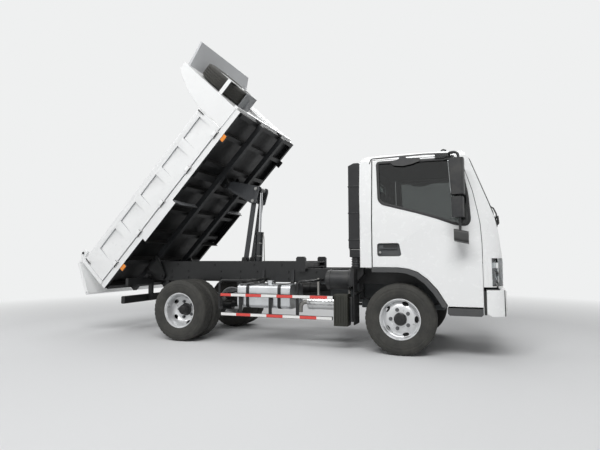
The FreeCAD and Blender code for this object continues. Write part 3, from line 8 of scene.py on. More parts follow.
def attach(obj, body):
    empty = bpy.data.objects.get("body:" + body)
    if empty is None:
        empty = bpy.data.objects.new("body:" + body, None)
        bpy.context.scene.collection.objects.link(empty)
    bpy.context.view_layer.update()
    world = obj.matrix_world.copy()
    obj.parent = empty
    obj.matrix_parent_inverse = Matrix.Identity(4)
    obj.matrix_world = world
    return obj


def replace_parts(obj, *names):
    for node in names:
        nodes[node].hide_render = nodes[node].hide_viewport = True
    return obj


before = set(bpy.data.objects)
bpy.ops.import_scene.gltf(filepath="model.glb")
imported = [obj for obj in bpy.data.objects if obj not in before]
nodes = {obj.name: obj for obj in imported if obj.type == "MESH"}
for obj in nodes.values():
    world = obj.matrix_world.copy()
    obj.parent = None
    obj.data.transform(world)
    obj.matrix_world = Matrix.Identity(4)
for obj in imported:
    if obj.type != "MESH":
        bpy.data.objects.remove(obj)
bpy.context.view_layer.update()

scene = bpy.context.scene

# ---- studio --------------------------------------------------------------------------------------
# A pale seamless paper sweep: the floor runs under the lorry and fades into a pale backdrop. Large
# soft boxes stand around it, the strongest to the right, and the camera stands at chest height.


def linear(hex_colour):
    """An sRGB hex colour as the linear RGBA that the shaders take."""
    parts = [int(hex_colour[i:i + 2], 16) / 255 for i in (1, 3, 5)]
    return tuple(p / 12.92 if p <= 0.04045 else ((p + 0.055) / 1.055) ** 2.4 for p in parts) + (1.0,)


def connect(node, **inputs):
    """Feeds a node's inputs: with a value, a hex colour, a socket, or another node's first output."""
    for name, given in inputs.items():
        socket = node.inputs[int(name[1:]) if name[0] == "_" else name.replace("_", " ")]
        if isinstance(given, bpy.types.Node):
            given = given.outputs[0]
        if isinstance(given, bpy.types.NodeSocket):
            node.id_data.links.new(given, socket)
        else:
            socket.default_value = linear(given) if str(given).startswith("#") else given
    return node


def add_node(tree, kind, settings=(), **inputs):
    """Adds a node; settings go to its properties."""
    node = tree.nodes.new(kind)
    for name, value in dict(settings).items():
        setattr(node, name, value)
    return connect(node, **inputs)


def new_material(name, **inputs):
    """A material with its tree, Principled shader and Object coordinates; inputs are the shader's."""
    material = bpy.data.materials.new(name)
    material.use_nodes = True
    tree = material.node_tree
    tree.nodes.clear()
    shader = add_node(tree, "ShaderNodeBsdfPrincipled", **inputs)
    add_node(tree, "ShaderNodeOutputMaterial", Surface=shader)
    return material, tree, shader, add_node(tree, "ShaderNodeTexCoord").outputs["Object"]


def stand(name, data, place=Matrix()):
    """Puts a new object in the scene."""
    thing = bpy.data.objects.new(name, data)
    scene.collection.objects.link(thing)
    thing.matrix_world = place
    return thing


def to_mesh(shape, name):
    """A finished form as a mesh."""
    mesh = bpy.data.meshes.new(name)
    shape.to_mesh(mesh)
    shape.free()
    return mesh


def looked_at(tree):
    """1 for what the camera, glass and reflections see, and 0 for what lights the lorry."""
    path = add_node(tree, "ShaderNodeLightPath")
    largest = {"operation": "MAXIMUM"}
    direct = add_node(tree, "ShaderNodeMath", largest, _0=path.outputs["Is Camera Ray"],
                      _1=path.outputs["Is Transmission Ray"])
    return add_node(tree, "ShaderNodeMath", largest, _0=direct, _1=path.outputs["Is Glossy Ray"])


axle = 1.690  # the front axle ahead of the origin; most lengths below are counted from it
yaw, pitch, roll = 0.3566, 0.0806, -0.0027
ahead = Vector((-math.sin(yaw) * math.cos(pitch), math.cos(yaw) * math.cos(pitch), math.sin(pitch)))
aside = Vector((math.cos(yaw), math.sin(yaw), 0))
above = aside.cross(ahead)
aside, above = (aside * math.cos(roll) + above * math.sin(roll), above * math.cos(roll) - aside * math.sin(roll))
turn = Matrix((aside, above, -ahead)).transposed()
lens = bpy.data.cameras.new("camera")
lens.sensor_width, lens.lens, lens.clip_end = 36, 28.002, 200
lens.shift_x, lens.shift_y = -0.0102833, -0.0081667
scene.camera = stand("camera", lens, Matrix.Translation((axle + 0.8378, -5.9791, 1.0543)) @ turn.to_4x4())

backdrop_white = "#EFF0F0"
paper, tree, shader, coords = new_material("seamless paper", Base_Color="#DADBDC", Roughness=0.9)
far = add_node(tree, "ShaderNodeVectorMath", {"operation": "LENGTH"}, _0=coords)
edge = add_node(tree, "ShaderNodeMapRange", Value=far.outputs["Value"], From_Min=4.5, From_Max=9.0)
backdrop = add_node(tree, "ShaderNodeEmission", Color=backdrop_white, Strength=1.0)
sweep = add_node(tree, "ShaderNodeMixShader", _0=edge, _1=shader, _2=backdrop)
shown = add_node(tree, "ShaderNodeMixShader", _0=looked_at(tree), _1=shader, _2=sweep)
connect(tree.nodes["Material Output"], Surface=shown)
shape = bmesh.new()
bmesh.ops.create_grid(shape, x_segments=1, y_segments=1, size=120)
floor = stand("floor", to_mesh(shape, "floor"))
floor.data.materials.append(paper)

world = bpy.data.worlds.new("studio")
world.use_nodes = True
scene.world = world
tree = world.node_tree
tree.nodes.clear()
lit = add_node(tree, "ShaderNodeBackground", Color="#FFFFFF", Strength=0.10)
seen = add_node(tree, "ShaderNodeBackground", Color=backdrop_white, Strength=1.0)
mixed = add_node(tree, "ShaderNodeMixShader", _0=looked_at(tree), _1=lit, _2=seen)
add_node(tree, "ShaderNodeOutputWorld", Surface=mixed)

soft_boxes = [  # name, place, aimed at, size, watts
    ("box_over", (0.5, 0.8, 8.0), (0, 0.2, 1.0), (7, 3.5), 110),
    ("box_front", (2.0, -9.6, 10.0), (0, 0, 1.3), (10, 4), 1200),
    ("box_left", (-1.0, 8.5, 6.5), (0, 0, 1.2), (8, 3), 200),
    ("box_nose", (8.5, -1.0, 4.5), (2.0, 0, 1.2), (4, 4), 80),
    ("box_tail", (-7.0, -4.0, 6.0), (-1.5, 0, 1.5), (5, 4), 190),
]
for name, place, aim, size, watts in soft_boxes:
    light = bpy.data.lights.new(name, "AREA")
    light.shape = "RECTANGLE"
    light.size, light.size_y = size
    light.energy = watts
    way = Vector(aim) - Vector(place)
    stand(name, light, Matrix.Translation(place) @ way.to_track_quat("-Z", "Y").to_matrix().to_4x4())
scene.view_settings.view_transform = "Standard"

# ---- chassis frame, subframe and running gear ----------------------------------------------------
# Two pressed-steel C rails with cross members, the tipping subframe on top of them, and the axles on
# leaf springs. All of it is sprayed with black chassis paint, which dries with a low, uneven gloss and
# holds road dust on its upper faces.

usual = {"From_Min": 0.3, "From_Max": 0.7}  # where most of a noise's values lie


def finish_nodes(material, *names):
    """Gives CAD nodes that are already the right shape their finish."""
    for name in names:
        mesh = nodes[name].data
        mesh.materials.clear()
        mesh.materials.append(material)


def worn_paint(name, colour, dust, rough, grain_mm=1.6, coat=0.0, dust_amount=0.35, uneven=0.1):
    """Sprayed paint: a fine orange peel, broad tone changes, and dust that settles on upper faces."""
    material, tree, shader, coords = new_material(name, Coat_Weight=coat, Coat_Roughness=0.06)
    broad = add_node(tree, "ShaderNodeTexNoise", Vector=coords, Scale=2.2, Detail=5.0, Roughness=0.6)
    patch = add_node(tree, "ShaderNodeTexNoise", Vector=coords, Scale=14.0, Detail=6.0, Roughness=0.7)
    geometry = add_node(tree, "ShaderNodeNewGeometry")
    split = add_node(tree, "ShaderNodeSeparateXYZ", Vector=geometry.outputs["Normal"])
    upper = add_node(tree, "ShaderNodeMapRange", Value=split.outputs["Z"], From_Min=0.2, From_Max=1.0)
    mask = add_node(tree, "ShaderNodeMath", {"operation": "MULTIPLY"}, _0=upper, _1=patch)
    amount = add_node(tree, "ShaderNodeMath", {"operation": "MULTIPLY"}, _0=mask, _1=dust_amount)
    tone = add_node(tree, "ShaderNodeMapRange", Value=broad, **usual, To_Min=1.0 - uneven, To_Max=1.0 + uneven * 0.5)
    shade = add_node(tree, "ShaderNodeHueSaturation", Color=colour, Value=tone)
    mix = add_node(tree, "ShaderNodeMix", {"data_type": "RGBA"}, Factor=amount, _6=shade, _7=dust)
    gloss = add_node(tree, "ShaderNodeMapRange", Value=patch, **usual, To_Min=rough * 0.85, To_Max=rough * 1.15)
    coarser = 6  # real orange peel is too fine to show, so it is drawn this many times as coarse
    peel = add_node(tree, "ShaderNodeTexNoise", Vector=coords, Scale=1000 / grain_mm / coarser, Detail=2.0)
    bump = add_node(tree, "ShaderNodeBump", Height=peel, Strength=0.06, Distance=0.0006)
    connect(shader, Base_Color=mix.outputs[2], Roughness=gloss, Normal=bump)
    return material


chassis_black = worn_paint("black chassis enamel", "#161718", "#6E6A64", 0.42)
finish_nodes(chassis_black, "chassis_frame", "subframe", "axles", "leaf_springs", "underrun_bar", "knuckle_right",
             "knuckle_left")

# ---- frame fixings -------------------------------------------------------------------------------
# Hexagon bolts with a washer face hold the brackets, springs and subframe to the rails. They are
# zinc plated and painted over with the frame, so only their height and their rims catch the light.

bolt_tree = bpy.data.node_groups.new("hexagon bolts on marked spots", "GeometryNodeTree")
sockets = {}
for name, kind in (("Spots", "Geometry"), ("Radius", "Float"), ("Height", "Float"), ("Sides", "Int"),
                   ("Finish", "Material")):
    sockets[name] = bolt_tree.interface.new_socket(name, in_out="INPUT", socket_type="NodeSocket" + kind)
bolt_tree.interface.new_socket("Bolts", in_out="OUTPUT", socket_type="NodeSocketGeometry")
given = add_node(bolt_tree, "NodeGroupInput").outputs
head = add_node(bolt_tree, "GeometryNodeMeshCylinder", Vertices=given["Sides"], Radius=given["Radius"],
                Depth=given["Height"])
times = {"operation": "MULTIPLY"}
washer_width = add_node(bolt_tree, "ShaderNodeMath", times, _0=given["Radius"], _1=1.35)
washer_depth = add_node(bolt_tree, "ShaderNodeMath", times, _0=given["Height"], _1=0.36)
washer = add_node(bolt_tree, "GeometryNodeMeshCylinder", Vertices=16, Radius=washer_width, Depth=washer_depth)
half_up = add_node(bolt_tree, "ShaderNodeMath", times, _0=given["Height"], _1=0.5)
rise = add_node(bolt_tree, "ShaderNodeCombineXYZ", Z=half_up)
raised = add_node(bolt_tree, "GeometryNodeTransform", Geometry=head, Translation=rise)
bolt = add_node(bolt_tree, "GeometryNodeJoinGeometry", _0=raised)
connect(bolt, _0=washer)
way = add_node(bolt_tree, "GeometryNodeInputNamedAttribute", {"data_type": "FLOAT_VECTOR"}, Name="way")
turned_to = add_node(bolt_tree, "FunctionNodeAlignRotationToVector", {"axis": "Z"}, Vector=way)
placed = add_node(bolt_tree, "GeometryNodeInstanceOnPoints", Points=given["Spots"], Instance=bolt, Rotation=turned_to)
whole = add_node(bolt_tree, "GeometryNodeRealizeInstances", Geometry=placed)
coated = add_node(bolt_tree, "GeometryNodeSetMaterial", Geometry=whole, Material=given["Finish"])
add_node(bolt_tree, "NodeGroupOutput", _0=coated)


def evaluated(thing):
    """The object's shape with its modifiers applied, as a plain mesh."""
    bpy.context.view_layer.update()
    return bpy.data.meshes.new_from_object(thing.evaluated_get(bpy.context.evaluated_depsgraph_get()))


def piece(name, form, body, material):
    """A finished piece on its body, from a form or a mesh; its edges are smooth up to 35 degrees."""
    mesh = to_mesh(form, name) if isinstance(form, bmesh.types.BMesh) else form
    mesh.name = name
    mesh.materials.clear()
    mesh.materials.append(material)
    thing = stand(name, mesh)
    mesh.shade_smooth()
    mesh.set_sharp_from_angle(angle=math.radians(35))
    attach(thing, body)
    return thing


def bolts(name, body, spots, radius, height, material, sides=6):
    """A row of fasteners; spots are (place, way) in metres, one plain mesh on one body."""
    mesh = bpy.data.meshes.new(name)
    mesh.from_pydata([place for place, _ in spots], [], [])
    ways = mesh.attributes.new("way", "FLOAT_VECTOR", "POINT")
    ways.data.foreach_set("vector", [v for _, way in spots for v in way])
    source = stand(name, mesh)
    growth = source.modifiers.new("bolts", "NODES")
    growth.node_group = bolt_tree
    for socket, value in (("Radius", radius), ("Height", height), ("Sides", sides), ("Finish", material)):
        growth[sockets[socket].identifier] = value
    made = evaluated(source)
    bpy.data.objects.remove(source)
    return piece(name, made, body, material)


rail_out, subframe_out = 0.375, 0.371  # the outer faces that the bolts sit on
rail_spots = []
for side in (-1, 1):
    for x in (-3.30, -3.02, -2.50, -2.20, -1.95, -1.50, -1.12, -0.62, -0.50, 0.10, 0.46, 0.62):
        rail_spots += [((axle + x, side * rail_out, z), (0, side, 0)) for z in (0.785, 0.875)]
    for x in (-3.2, -2.6, -2.0, -1.6, -1.30):
        rail_spots.append(((axle + x, side * subframe_out, 0.965), (0, side, 0)))
bolts("rail_bolts", "chassis", rail_spots, 0.013, 0.012, chassis_black)

# ---- fuel tank, muffler and boxes on the frame ---------------------------------------------------
# The tank is rolled and welded aluminium held by two painted steel straps on rubber; the muffler is
# aluminised steel behind a crumpled foil heat shield, and the battery and air boxes are moulded plastic.


def brushed_metal(name, colour, rough, line_mm, axis_scale=(1.0, 1.0, 1.0)):
    """Bare sheet metal with fine rolling lines and a slow change of brightness along it."""
    material, tree, shader, coords = new_material(name, Metallic=1.0)
    stretch = add_node(tree, "ShaderNodeMapping", Vector=coords, Scale=axis_scale)
    coarser = 4  # rolling lines are too fine to show, so they are drawn this many times as coarse
    lines = add_node(tree, "ShaderNodeTexNoise", Vector=stretch, Scale=1000 / line_mm / coarser, Detail=4.0)
    broad = add_node(tree, "ShaderNodeTexNoise", Vector=coords, Scale=5.0, Detail=4.0)
    tone = add_node(tree, "ShaderNodeMapRange", Value=broad, **usual, To_Min=0.82, To_Max=1.05)
    shade = add_node(tree, "ShaderNodeHueSaturation", Color=colour, Value=tone)
    gloss = add_node(tree, "ShaderNodeMapRange", Value=lines, **usual, To_Min=rough * 0.75, To_Max=rough * 1.3)
    bump = add_node(tree, "ShaderNodeBump", Height=lines, Strength=0.12, Distance=0.0003)
    connect(shader, Base_Color=shade, Roughness=gloss, Normal=bump)
    return material


def moulded(name, colour, rough, grain_mm, fade="#6A6862", worn=0.25):
    """Moulded plastic: a fine cast grain, and greyed patches where sun and dust have dulled it."""
    material, tree, shader, coords = new_material(name)
    patch = add_node(tree, "ShaderNodeTexNoise", Vector=coords, Scale=6.0, Detail=6.0, Roughness=0.65)
    amount = add_node(tree, "ShaderNodeMapRange", Value=patch, From_Min=0.45, From_Max=0.8, To_Max=worn)
    mix = add_node(tree, "ShaderNodeMix", {"data_type": "RGBA"}, Factor=amount, _6=colour, _7=fade)
    grain = add_node(tree, "ShaderNodeTexVoronoi", Vector=coords, Scale=1000 / grain_mm)
    bump = add_node(tree, "ShaderNodeBump", Height=grain.outputs["Distance"], Strength=0.18, Distance=0.0004)
    gloss = add_node(tree, "ShaderNodeMapRange", Value=patch, **usual, To_Min=rough * 0.88, To_Max=rough * 1.12)
    connect(shader, Base_Color=mix.outputs[2], Roughness=gloss, Normal=bump)
    return material


def embossed(material, scale, strength, depth, feature="F1", randomness=1.0):
    """Gives a finish a relief of cells in place of its grain."""
    tree = material.node_tree
    coords = tree.nodes["Texture Coordinate"].outputs["Object"]
    cells = add_node(tree, "ShaderNodeTexVoronoi", {"feature": feature}, Vector=coords, Scale=scale,
                     Randomness=randomness)
    relief = add_node(tree, "ShaderNodeBump", Height=cells.outputs["Distance"], Strength=strength, Distance=depth)
    connect(tree.nodes["Principled BSDF"], Normal=relief)
    return material


def paint_where(thing, material, test):
    """Gives a finish to the faces whose centre and normal pass the test."""
    thing.data.materials.append(material)
    for face in thing.data.polygons:
        if test(face.center, face.normal):
            face.material_index = len(thing.data.materials) - 1


def eased(thing, width, segments=2, angle=30):
    """Rounds the piece's sharp edges as rolled or pressed metal has them."""
    bevel = thing.modifiers.new("eased edges", "BEVEL")
    bevel.width, bevel.segments, bevel.angle_limit = width, segments, math.radians(angle)
    return thing


def skin_of(node, body, width, finish, second=None, test=None, segments=2):
    """Replaces a CAD node by its own form with merged faces, eased edges and one or two finishes."""
    shape = bmesh.new()
    shape.from_mesh(nodes[node].data)
    bmesh.ops.remove_doubles(shape, verts=shape.verts, dist=2e-5)
    bmesh.ops.dissolve_limit(shape, angle_limit=math.radians(0.6), verts=shape.verts, edges=shape.edges)
    thing = piece(node + "_skin", shape, body, finish)
    if second:
        paint_where(thing, second, test)
    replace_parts(eased(thing, width, segments), node)
    return thing


tank_metal = brushed_metal("rolled aluminium sheet", "#DCDEE0", 0.34, 1.2, (0.05, 1.0, 1.0))
strap_black = worn_paint("black strap enamel over rubber", "#17181A", "#4A4844", 0.5)


strap_places, strap_half = (-1.850, -1.430), 0.0215


def on_strap(centre, normal):
    """The two straps, and the brackets between the tank and the rail."""
    return any(abs(centre.x - axle - x) < strap_half for x in strap_places) or centre.y > -0.4


skin_of("fuel_tank", "chassis", 0.002, tank_metal, strap_black, on_strap)

foil = embossed(brushed_metal("crumpled aluminium foil", "#E2E3E3", 0.22, 3.0), 24.0, 0.6, 0.006, "DISTANCE_TO_EDGE")
pipe_steel = brushed_metal("aluminised steel tube", "#9C9A96", 0.45, 2.0)


def off_shield(centre, normal):
    """The bare tube and shell, all that the foil shield leaves open."""
    return not (-1.14 < centre.x - axle < -0.60 and 0.43 < centre.z < 0.612 and centre.y < -0.508)


skin_of("muffler", "chassis", 0.0015, foil, pipe_steel, off_shield)
black_plastic = moulded("black moulded polypropylene", "#1C1D1F", 0.5, 1.1)
skin_of("battery_box", "chassis", 0.003, black_plastic)
skin_of("air_cleaner", "chassis", 0.002, black_plastic)

# ---- side guards ---------------------------------------------------------------------------------
# Two black box rails a side on posts and bent tubes. Red and white retroreflective tape is stuck
# along each rail, a film over tiny sealed cells that show as a faint honeycomb.

both_sides = ((-1, "right"), (1, "left"))
guard_black = worn_paint("black guard enamel", "#151617", "#55524C", 0.38)
skin_of("side_guards", "chassis", 0.002, guard_black)


def block(side, x, y, z, start=axle):
    """The low and high corner of a block on one side, from its spans ahead of a start, out and up."""
    near, far = sorted((side * y[0], side * y[1]))
    return (start + x[0], near, z[0]), (start + x[1], far, z[1])


def block_form(*blocks):
    """Closed blocks in one form, each given by its low and high corner."""
    shape = bmesh.new()
    for low, high in blocks:
        made = bmesh.ops.create_cube(shape, size=1)
        grow = Matrix.Diagonal([high[i] - low[i] for i in range(3)] + [1])
        middle = Matrix.Translation([(low[i] + high[i]) / 2 for i in range(3)])
        bmesh.ops.transform(shape, matrix=middle @ grow, verts=made["verts"])
    return shape


tape_edges = (  # height of the tape's middle, and where its colour changes along the rail
    (0.604, (-2.195, -2.050, -1.850, -1.640, -1.440, -1.235, -1.020, -0.810, -0.745)),
    (0.370, (-2.185, -1.975, -1.780, -1.570, -1.360, -1.145, -0.940, -0.755)),
)
tape_half = 0.0165
tape_out = (0.8818, 0.8828)  # a film on the rails' outer faces
for odd, name, colour in ((0, "red", "#E0443C"), (1, "white", "#F4F4F2")):
    tape, tree, shader, coords = new_material(name + " reflective tape", Roughness=0.32, Coat_Weight=0.6)
    cells = add_node(tree, "ShaderNodeTexVoronoi", {"feature": "DISTANCE_TO_EDGE"}, Vector=coords, Scale=260.0,
                     Randomness=0.2)
    wall = add_node(tree, "ShaderNodeMapRange", Value=cells.outputs["Distance"], From_Max=0.12, To_Min=0.82)
    connect(shader, Base_Color=add_node(tree, "ShaderNodeHueSaturation", Color=colour, Value=wall))
    strips = [block(side, (stops[k], stops[k + 1]), tape_out, (z - tape_half, z + tape_half))
              for side in (-1, 1) for rail, (z, stops) in enumerate(tape_edges)
              for k in range(len(stops) - 1) if (k + rail) % 2 == odd]
    piece("guard_tape_" + name, block_form(*strips), "chassis", tape)

# ---- steps, bumper and flares --------------------------------------------------------------------
# The step wells and arch flares are grained grey polypropylene; the bumper is a painted pressing with
# a black air mesh and round fog lamp wells.

tread_pitch = 0.025
step_grey = moulded("dark grey grained polypropylene", "#454647", 0.62, 1.4)
skin_of("steps", "chassis", 0.003, step_grey)
skin_of("arch_flares", "cab", 0.004, step_grey)
for side, tag in both_sides:
    eased(piece("splash_plate_" + tag, block_form(block(side, (0.858, 0.883), (0.400, 0.846), (0.466, 0.704))),
                "chassis", black_plastic), 0.004)
    treads = [block(side, (0.530 + tread_pitch * row, 0.540 + tread_pitch * row), (0.590, 0.826), (0.5085, 0.514))
              for row in range(12)]
    piece("step_treads_" + tag, block_form(*treads), "chassis", step_grey)

# ---- cab -----------------------------------------------------------------------------------------
# A pressed and welded steel cab in gloss white two-pack paint over primer. The clear outer coat gives
# sharp highlights along the pillars; the room's inner faces and the floor underneath take the grey felt lining.

cab_white = worn_paint("white two-pack paint", "#F0F1F1", "#C9C6BF", 0.26, 2.4, 0.7, 0.04, 0.012)
under_black = worn_paint("black underbody coating", "#1A1B1C", "#5A5650", 0.7, grain_mm=3.0)


def two_colours(tree, amount, first, second, start=0.0, end=1.0):
    """A ramp between two colours."""
    ramp = add_node(tree, "ShaderNodeValToRGB", Fac=amount)
    for element, colour, place in zip(ramp.color_ramp.elements, (first, second), (start, end)):
        element.color, element.position = linear(colour), place
    return ramp


def clouded(name, scale, detail, tones=(), gloss=(), relief=(), **inputs):
    """A finish with one soft pattern in its two tones, its roughness or its relief (strength and depth)."""
    material, tree, shader, coords = new_material(name, **inputs)
    cloud = add_node(tree, "ShaderNodeTexNoise", Vector=coords, Scale=scale, Detail=detail)
    if tones:
        connect(shader, Base_Color=two_colours(tree, cloud, *tones))
    if gloss:
        connect(shader, Roughness=add_node(tree, "ShaderNodeMapRange", Value=cloud, To_Min=gloss[0], To_Max=gloss[1]))
    if relief:
        connect(shader, Normal=add_node(tree, "ShaderNodeBump", Height=cloud, Strength=relief[0], Distance=relief[1]))
    return material


lining = clouded("grey felt cab lining", 24.0, 3.0, ("#36383A", "#46484B"), Roughness=0.95)


def inside_cab(centre, normal):
    """The room's own faces: turned inwards, behind the outer skin."""
    x, y, z = centre.x - axle, abs(centre.y), centre.z
    room = -0.40 < x < 0.97 and y < 0.819 and 0.60 < z < 2.19
    return (room and normal.x * (0.3 - x) + normal.y * -centre.y + normal.z * (1.5 - z) > 0) or z < 0.96 and y < 0.8


def in_grille(centre, normal):
    """The walls and floors of the air slots, the back of the panel."""
    x, y, z = centre.x - axle, abs(centre.y), centre.z
    slot = y < 0.421 and any(low < z < low + 0.020 for low in (0.7999, 0.8379, 0.8759, 0.9139))
    return slot and x < 1.048 and abs(normal.y) + abs(normal.z) > 0.5 or slot and x < 1.03 or normal.x < -0.3


def in_air_mesh(centre, normal):
    """The bumper's back and its air opening."""
    x = centre.x - axle
    return x < 0.89 or x < 1.062 and abs(centre.y) < 0.80 and 0.48 < centre.z < 0.70


skin_of("cab_shell", "cab", 0.007, cab_white, lining, inside_cab, 3)
skin_of("front_panel", "cab", 0.005, cab_white, under_black, in_grille, 3)
skin_of("bumper", "chassis", 0.006, cab_white, under_black, in_air_mesh, 3)
seal_black = clouded("black window rubber", 30.0, 4.0, gloss=(0.42, 0.62), Base_Color="#121213")


def side_y(z):
    """How far the cab's side stands out at a height."""
    return 0.860 - max(0.0, z - 1.480) * 0.064 / 0.745


def rounded(points, reach, closed=True):
    """The outline with each corner drawn as a small arc."""
    made, count = [], len(points)
    for i, corner in enumerate(points):
        if not closed and i in (0, count - 1):
            made.append(tuple(corner))
            continue
        here, before, after = Vector(corner), Vector(points[i - 1]), Vector(points[(i + 1) % count])
        start = here + (before - here) * min(0.45, reach / max((before - here).length, 1e-6))
        end = here + (after - here) * min(0.45, reach / max((after - here).length, 1e-6))
        for t in (0.0, 0.2, 0.4, 0.6, 0.8, 1.0):
            made.append(tuple(start * (1 - t) ** 2 + here * 2 * t * (1 - t) + end * t * t))
    return made


def skinned(rings, closed=True):
    """A form of faces between each row of points and the next, and back to the first."""
    shape = bmesh.new()
    rows = [[shape.verts.new(point) for point in ring] for ring in rings]
    count = len(rows[0])
    for here, there in zip(rows, rows[1:] + rows[:1]):
        for k in range(count if closed else count - 1):
            shape.faces.new((here[k], here[(k + 1) % count], there[(k + 1) % count], there[k]))
    bmesh.ops.recalc_face_normals(shape, faces=shape.faces)
    return shape


def ring_form(outline, inner, outer, low, high, spot):
    """A closed frame round an outline: from inner inside it to outer outside it, low to high off the surface."""
    area = sum(a[0] * b[1] - b[0] * a[1] for a, b in zip(outline, outline[1:] + outline[:1]))
    rings, count = [], len(outline)
    for i in range(count):
        back, here, next_on = (Vector(outline[j % count]) for j in (i - 1, i, i + 1))
        way = ((here - back).normalized() + (next_on - here).normalized()).normalized()
        out = Vector((way.y, -way.x)) * (1 if area > 0 else -1)
        section = ((-inner, low), (-inner, high * 0.8), (-inner * 0.5, high), (outer * 0.5, high),
                   (outer, high * 0.7), (outer, low))
        rings.append([spot(*(here + out * shift), lift) for shift, lift in section])
    return skinned(rings)


def plate_form(outline, low, high, spot):
    """A closed flat piece: an outline given thickness off a surface."""
    shape = bmesh.new()
    under, over = ([shape.verts.new(spot(a, b, lift)) for a, b in outline] for lift in (low, high))
    shape.faces.new(under)
    shape.faces.new(over[::-1])
    for i in range(len(outline)):
        j = (i + 1) % len(outline)
        shape.faces.new((under[i], over[i], over[j], under[j]))
    bmesh.ops.recalc_face_normals(shape, faces=shape.faces)
    return shape


def pipe(name, points, radius, body, material, reach=0.03, closed=False, facets=10):
    """A round bar or tube along a path, its ends closed."""
    path = rounded(points, reach, closed)
    curve = bpy.data.curves.new(name, "CURVE")
    curve.dimensions = "3D"
    curve.bevel_depth = radius
    curve.bevel_resolution = max(0, facets // 4 - 1)
    curve.use_fill_caps = True
    line = curve.splines.new("POLY")
    line.points.add(len(path) - 1)
    for spot, place in zip(line.points, path):
        spot.co = (*place, 1)
    line.use_cyclic_u = closed
    source = stand(name, curve)
    mesh = evaluated(source)
    bpy.data.objects.remove(source)
    shape = bmesh.new()
    shape.from_mesh(mesh)
    bmesh.ops.remove_doubles(shape, verts=shape.verts, dist=1e-6)
    bmesh.ops.recalc_face_normals(shape, faces=shape.faces)
    shape.to_mesh(mesh)
    shape.free()
    return piece(name, mesh, body, material)


gutter = [(-0.318, 2.120), (-0.300, 2.176), (0.30, 2.186), (0.592, 2.172)]
for side, tag in both_sides:
    pipe("roof_gutter_" + tag, [(axle + x, side * (side_y(z) + 0.0015), z) for x, z in gutter], 0.0055, "cab",
         seal_black)


def on_screen(across, height, lift):
    """A place on the windscreen's outer face."""
    slope = (0.978 - 0.738) / (2.130 - 1.480)
    return (axle + 0.978 - (height - 1.480) * slope + lift * 0.938 - 0.002, across, height + lift * 0.346)


def on_rear(across, height, lift):
    """A place on the cab's rear wall."""
    return (axle - 0.435 - lift + 0.001, across, height)


def on_cowl(across, height, lift):
    """A place on the cowl under the windscreen, which leans back."""
    return (axle + 1.012 - 0.034 * (height - 1.330) / 0.150 + lift, across, height)


screen = rounded([(-0.760, 1.520), (0.760, 1.520), (0.700, 2.110), (-0.700, 2.110)], 0.06)
piece("windscreen_rubber", ring_form(screen, 0.014, 0.026, -0.012, 0.016, on_screen), "cab", seal_black)
backlight = rounded([(-0.600, 1.560), (0.600, 1.560), (0.570, 2.040), (-0.570, 2.040)], 0.05)
piece("rear_window_rubber", ring_form(backlight, 0.012, 0.018, -0.012, 0.005, on_rear), "cab", seal_black)
cowl = [(-0.635, 1.408), (0.635, 1.408), (0.650, 1.484), (-0.650, 1.484)]
piece("cowl_panel", plate_form(cowl, -0.003, 0.006, on_cowl), "cab", seal_black)
vents = [block(1, (0.9905, 1.0035), (y, y + 0.16), (z, z + 0.006)) for y in (-0.55, -0.32, 0.16, 0.39)
         for z in (1.428, 1.443)]
piece("cowl_vents", block_form(*vents), "cab", black_plastic)
for tag, foot in (("right", -0.56), ("left", 0.02)):
    arm = [on_screen(foot, 1.500, 0.046), on_screen(foot + 0.14, 1.580, 0.050), on_screen(foot + 0.30, 1.640, 0.024)]
    spindle = [(axle + x, foot, z) for x, z in ((0.985, 1.400), (1.028, 1.412), (1.020, 1.500))]
    blade = [on_screen(foot + 0.02, 1.560, 0.016), on_screen(foot + 0.56, 1.680, 0.016)]
    pipe("wiper_arm_" + tag, [(axle + 0.992, foot, 1.420)] + arm, 0.008, "cab", seal_black, 0.02)
    pipe("wiper_spindle_" + tag, spindle, 0.013, "cab", black_plastic, 0.02)
    pipe("wiper_blade_" + tag, blade, 0.008, "cab", seal_black, 0.01)
for name, rod, radius, finish in (("aerial_foot", ((0.470, 2.190), (0.470, 2.245)), 0.009, cab_white),
                                  ("aerial", ((0.455, 2.246), (0.478, 2.262), (0.512, 2.247)), 0.010, black_plastic)):
    pipe(name, [(axle + x, -0.60, z) for x, z in rod], radius, "cab", finish, 0.01)

# ---- doors ---------------------------------------------------------------------------------------
# Each door is a white pressing with a tinted pane in a black rubber channel. A grey plastic dish
# lies in the skin behind the pull, with a round lock beside it. A thin black plate over the pull is a
# painted shadow of the slot behind it.

tinted = clouded("grey tinted side glass", 8.0, 3.0, relief=(0.02, 0.0006), Base_Color="#868A89", Roughness=0.0,
                 Transmission_Weight=1.0)
screen_glass = new_material("laminated windscreen glass", Base_Color="#A9B5B1", Roughness=0.0,
                            Transmission_Weight=1.0)[0]
finish_nodes(screen_glass, "cab_glass")
finish_nodes(tinted, "door_glass_right", "door_glass_left")
handle_grey = moulded("dark grey handle plastic", "#46484A", 0.5, 0.9)
lock_steel = brushed_metal("lock barrel steel", "#A8A8A6", 0.3, 0.6)
seal_window = [(-0.228, 2.122), (-0.208, 1.700), (-0.172, 1.655), (0.000, 1.606), (0.200, 1.550), (0.400, 1.486),
               (0.600, 1.408), (0.712, 1.395), (0.740, 1.440), (0.722, 1.700), (0.690, 1.880), (0.600, 2.080),
               (0.570, 2.110)]
# a thin black plate over the grip: a painted shadow of the slot behind the pull
pull_shadow = [(-0.165, 1.163), (-0.012, 1.163), (-0.016, 1.196), (-0.165, 1.196)]
card = [(-0.25, 0.99), (0.16, 0.97), (0.34, 0.85), (0.50, 0.66), (0.78, 0.62), (0.80, 1.33), (0.40, 1.44),
        (0.0, 1.56), (-0.24, 1.62)]
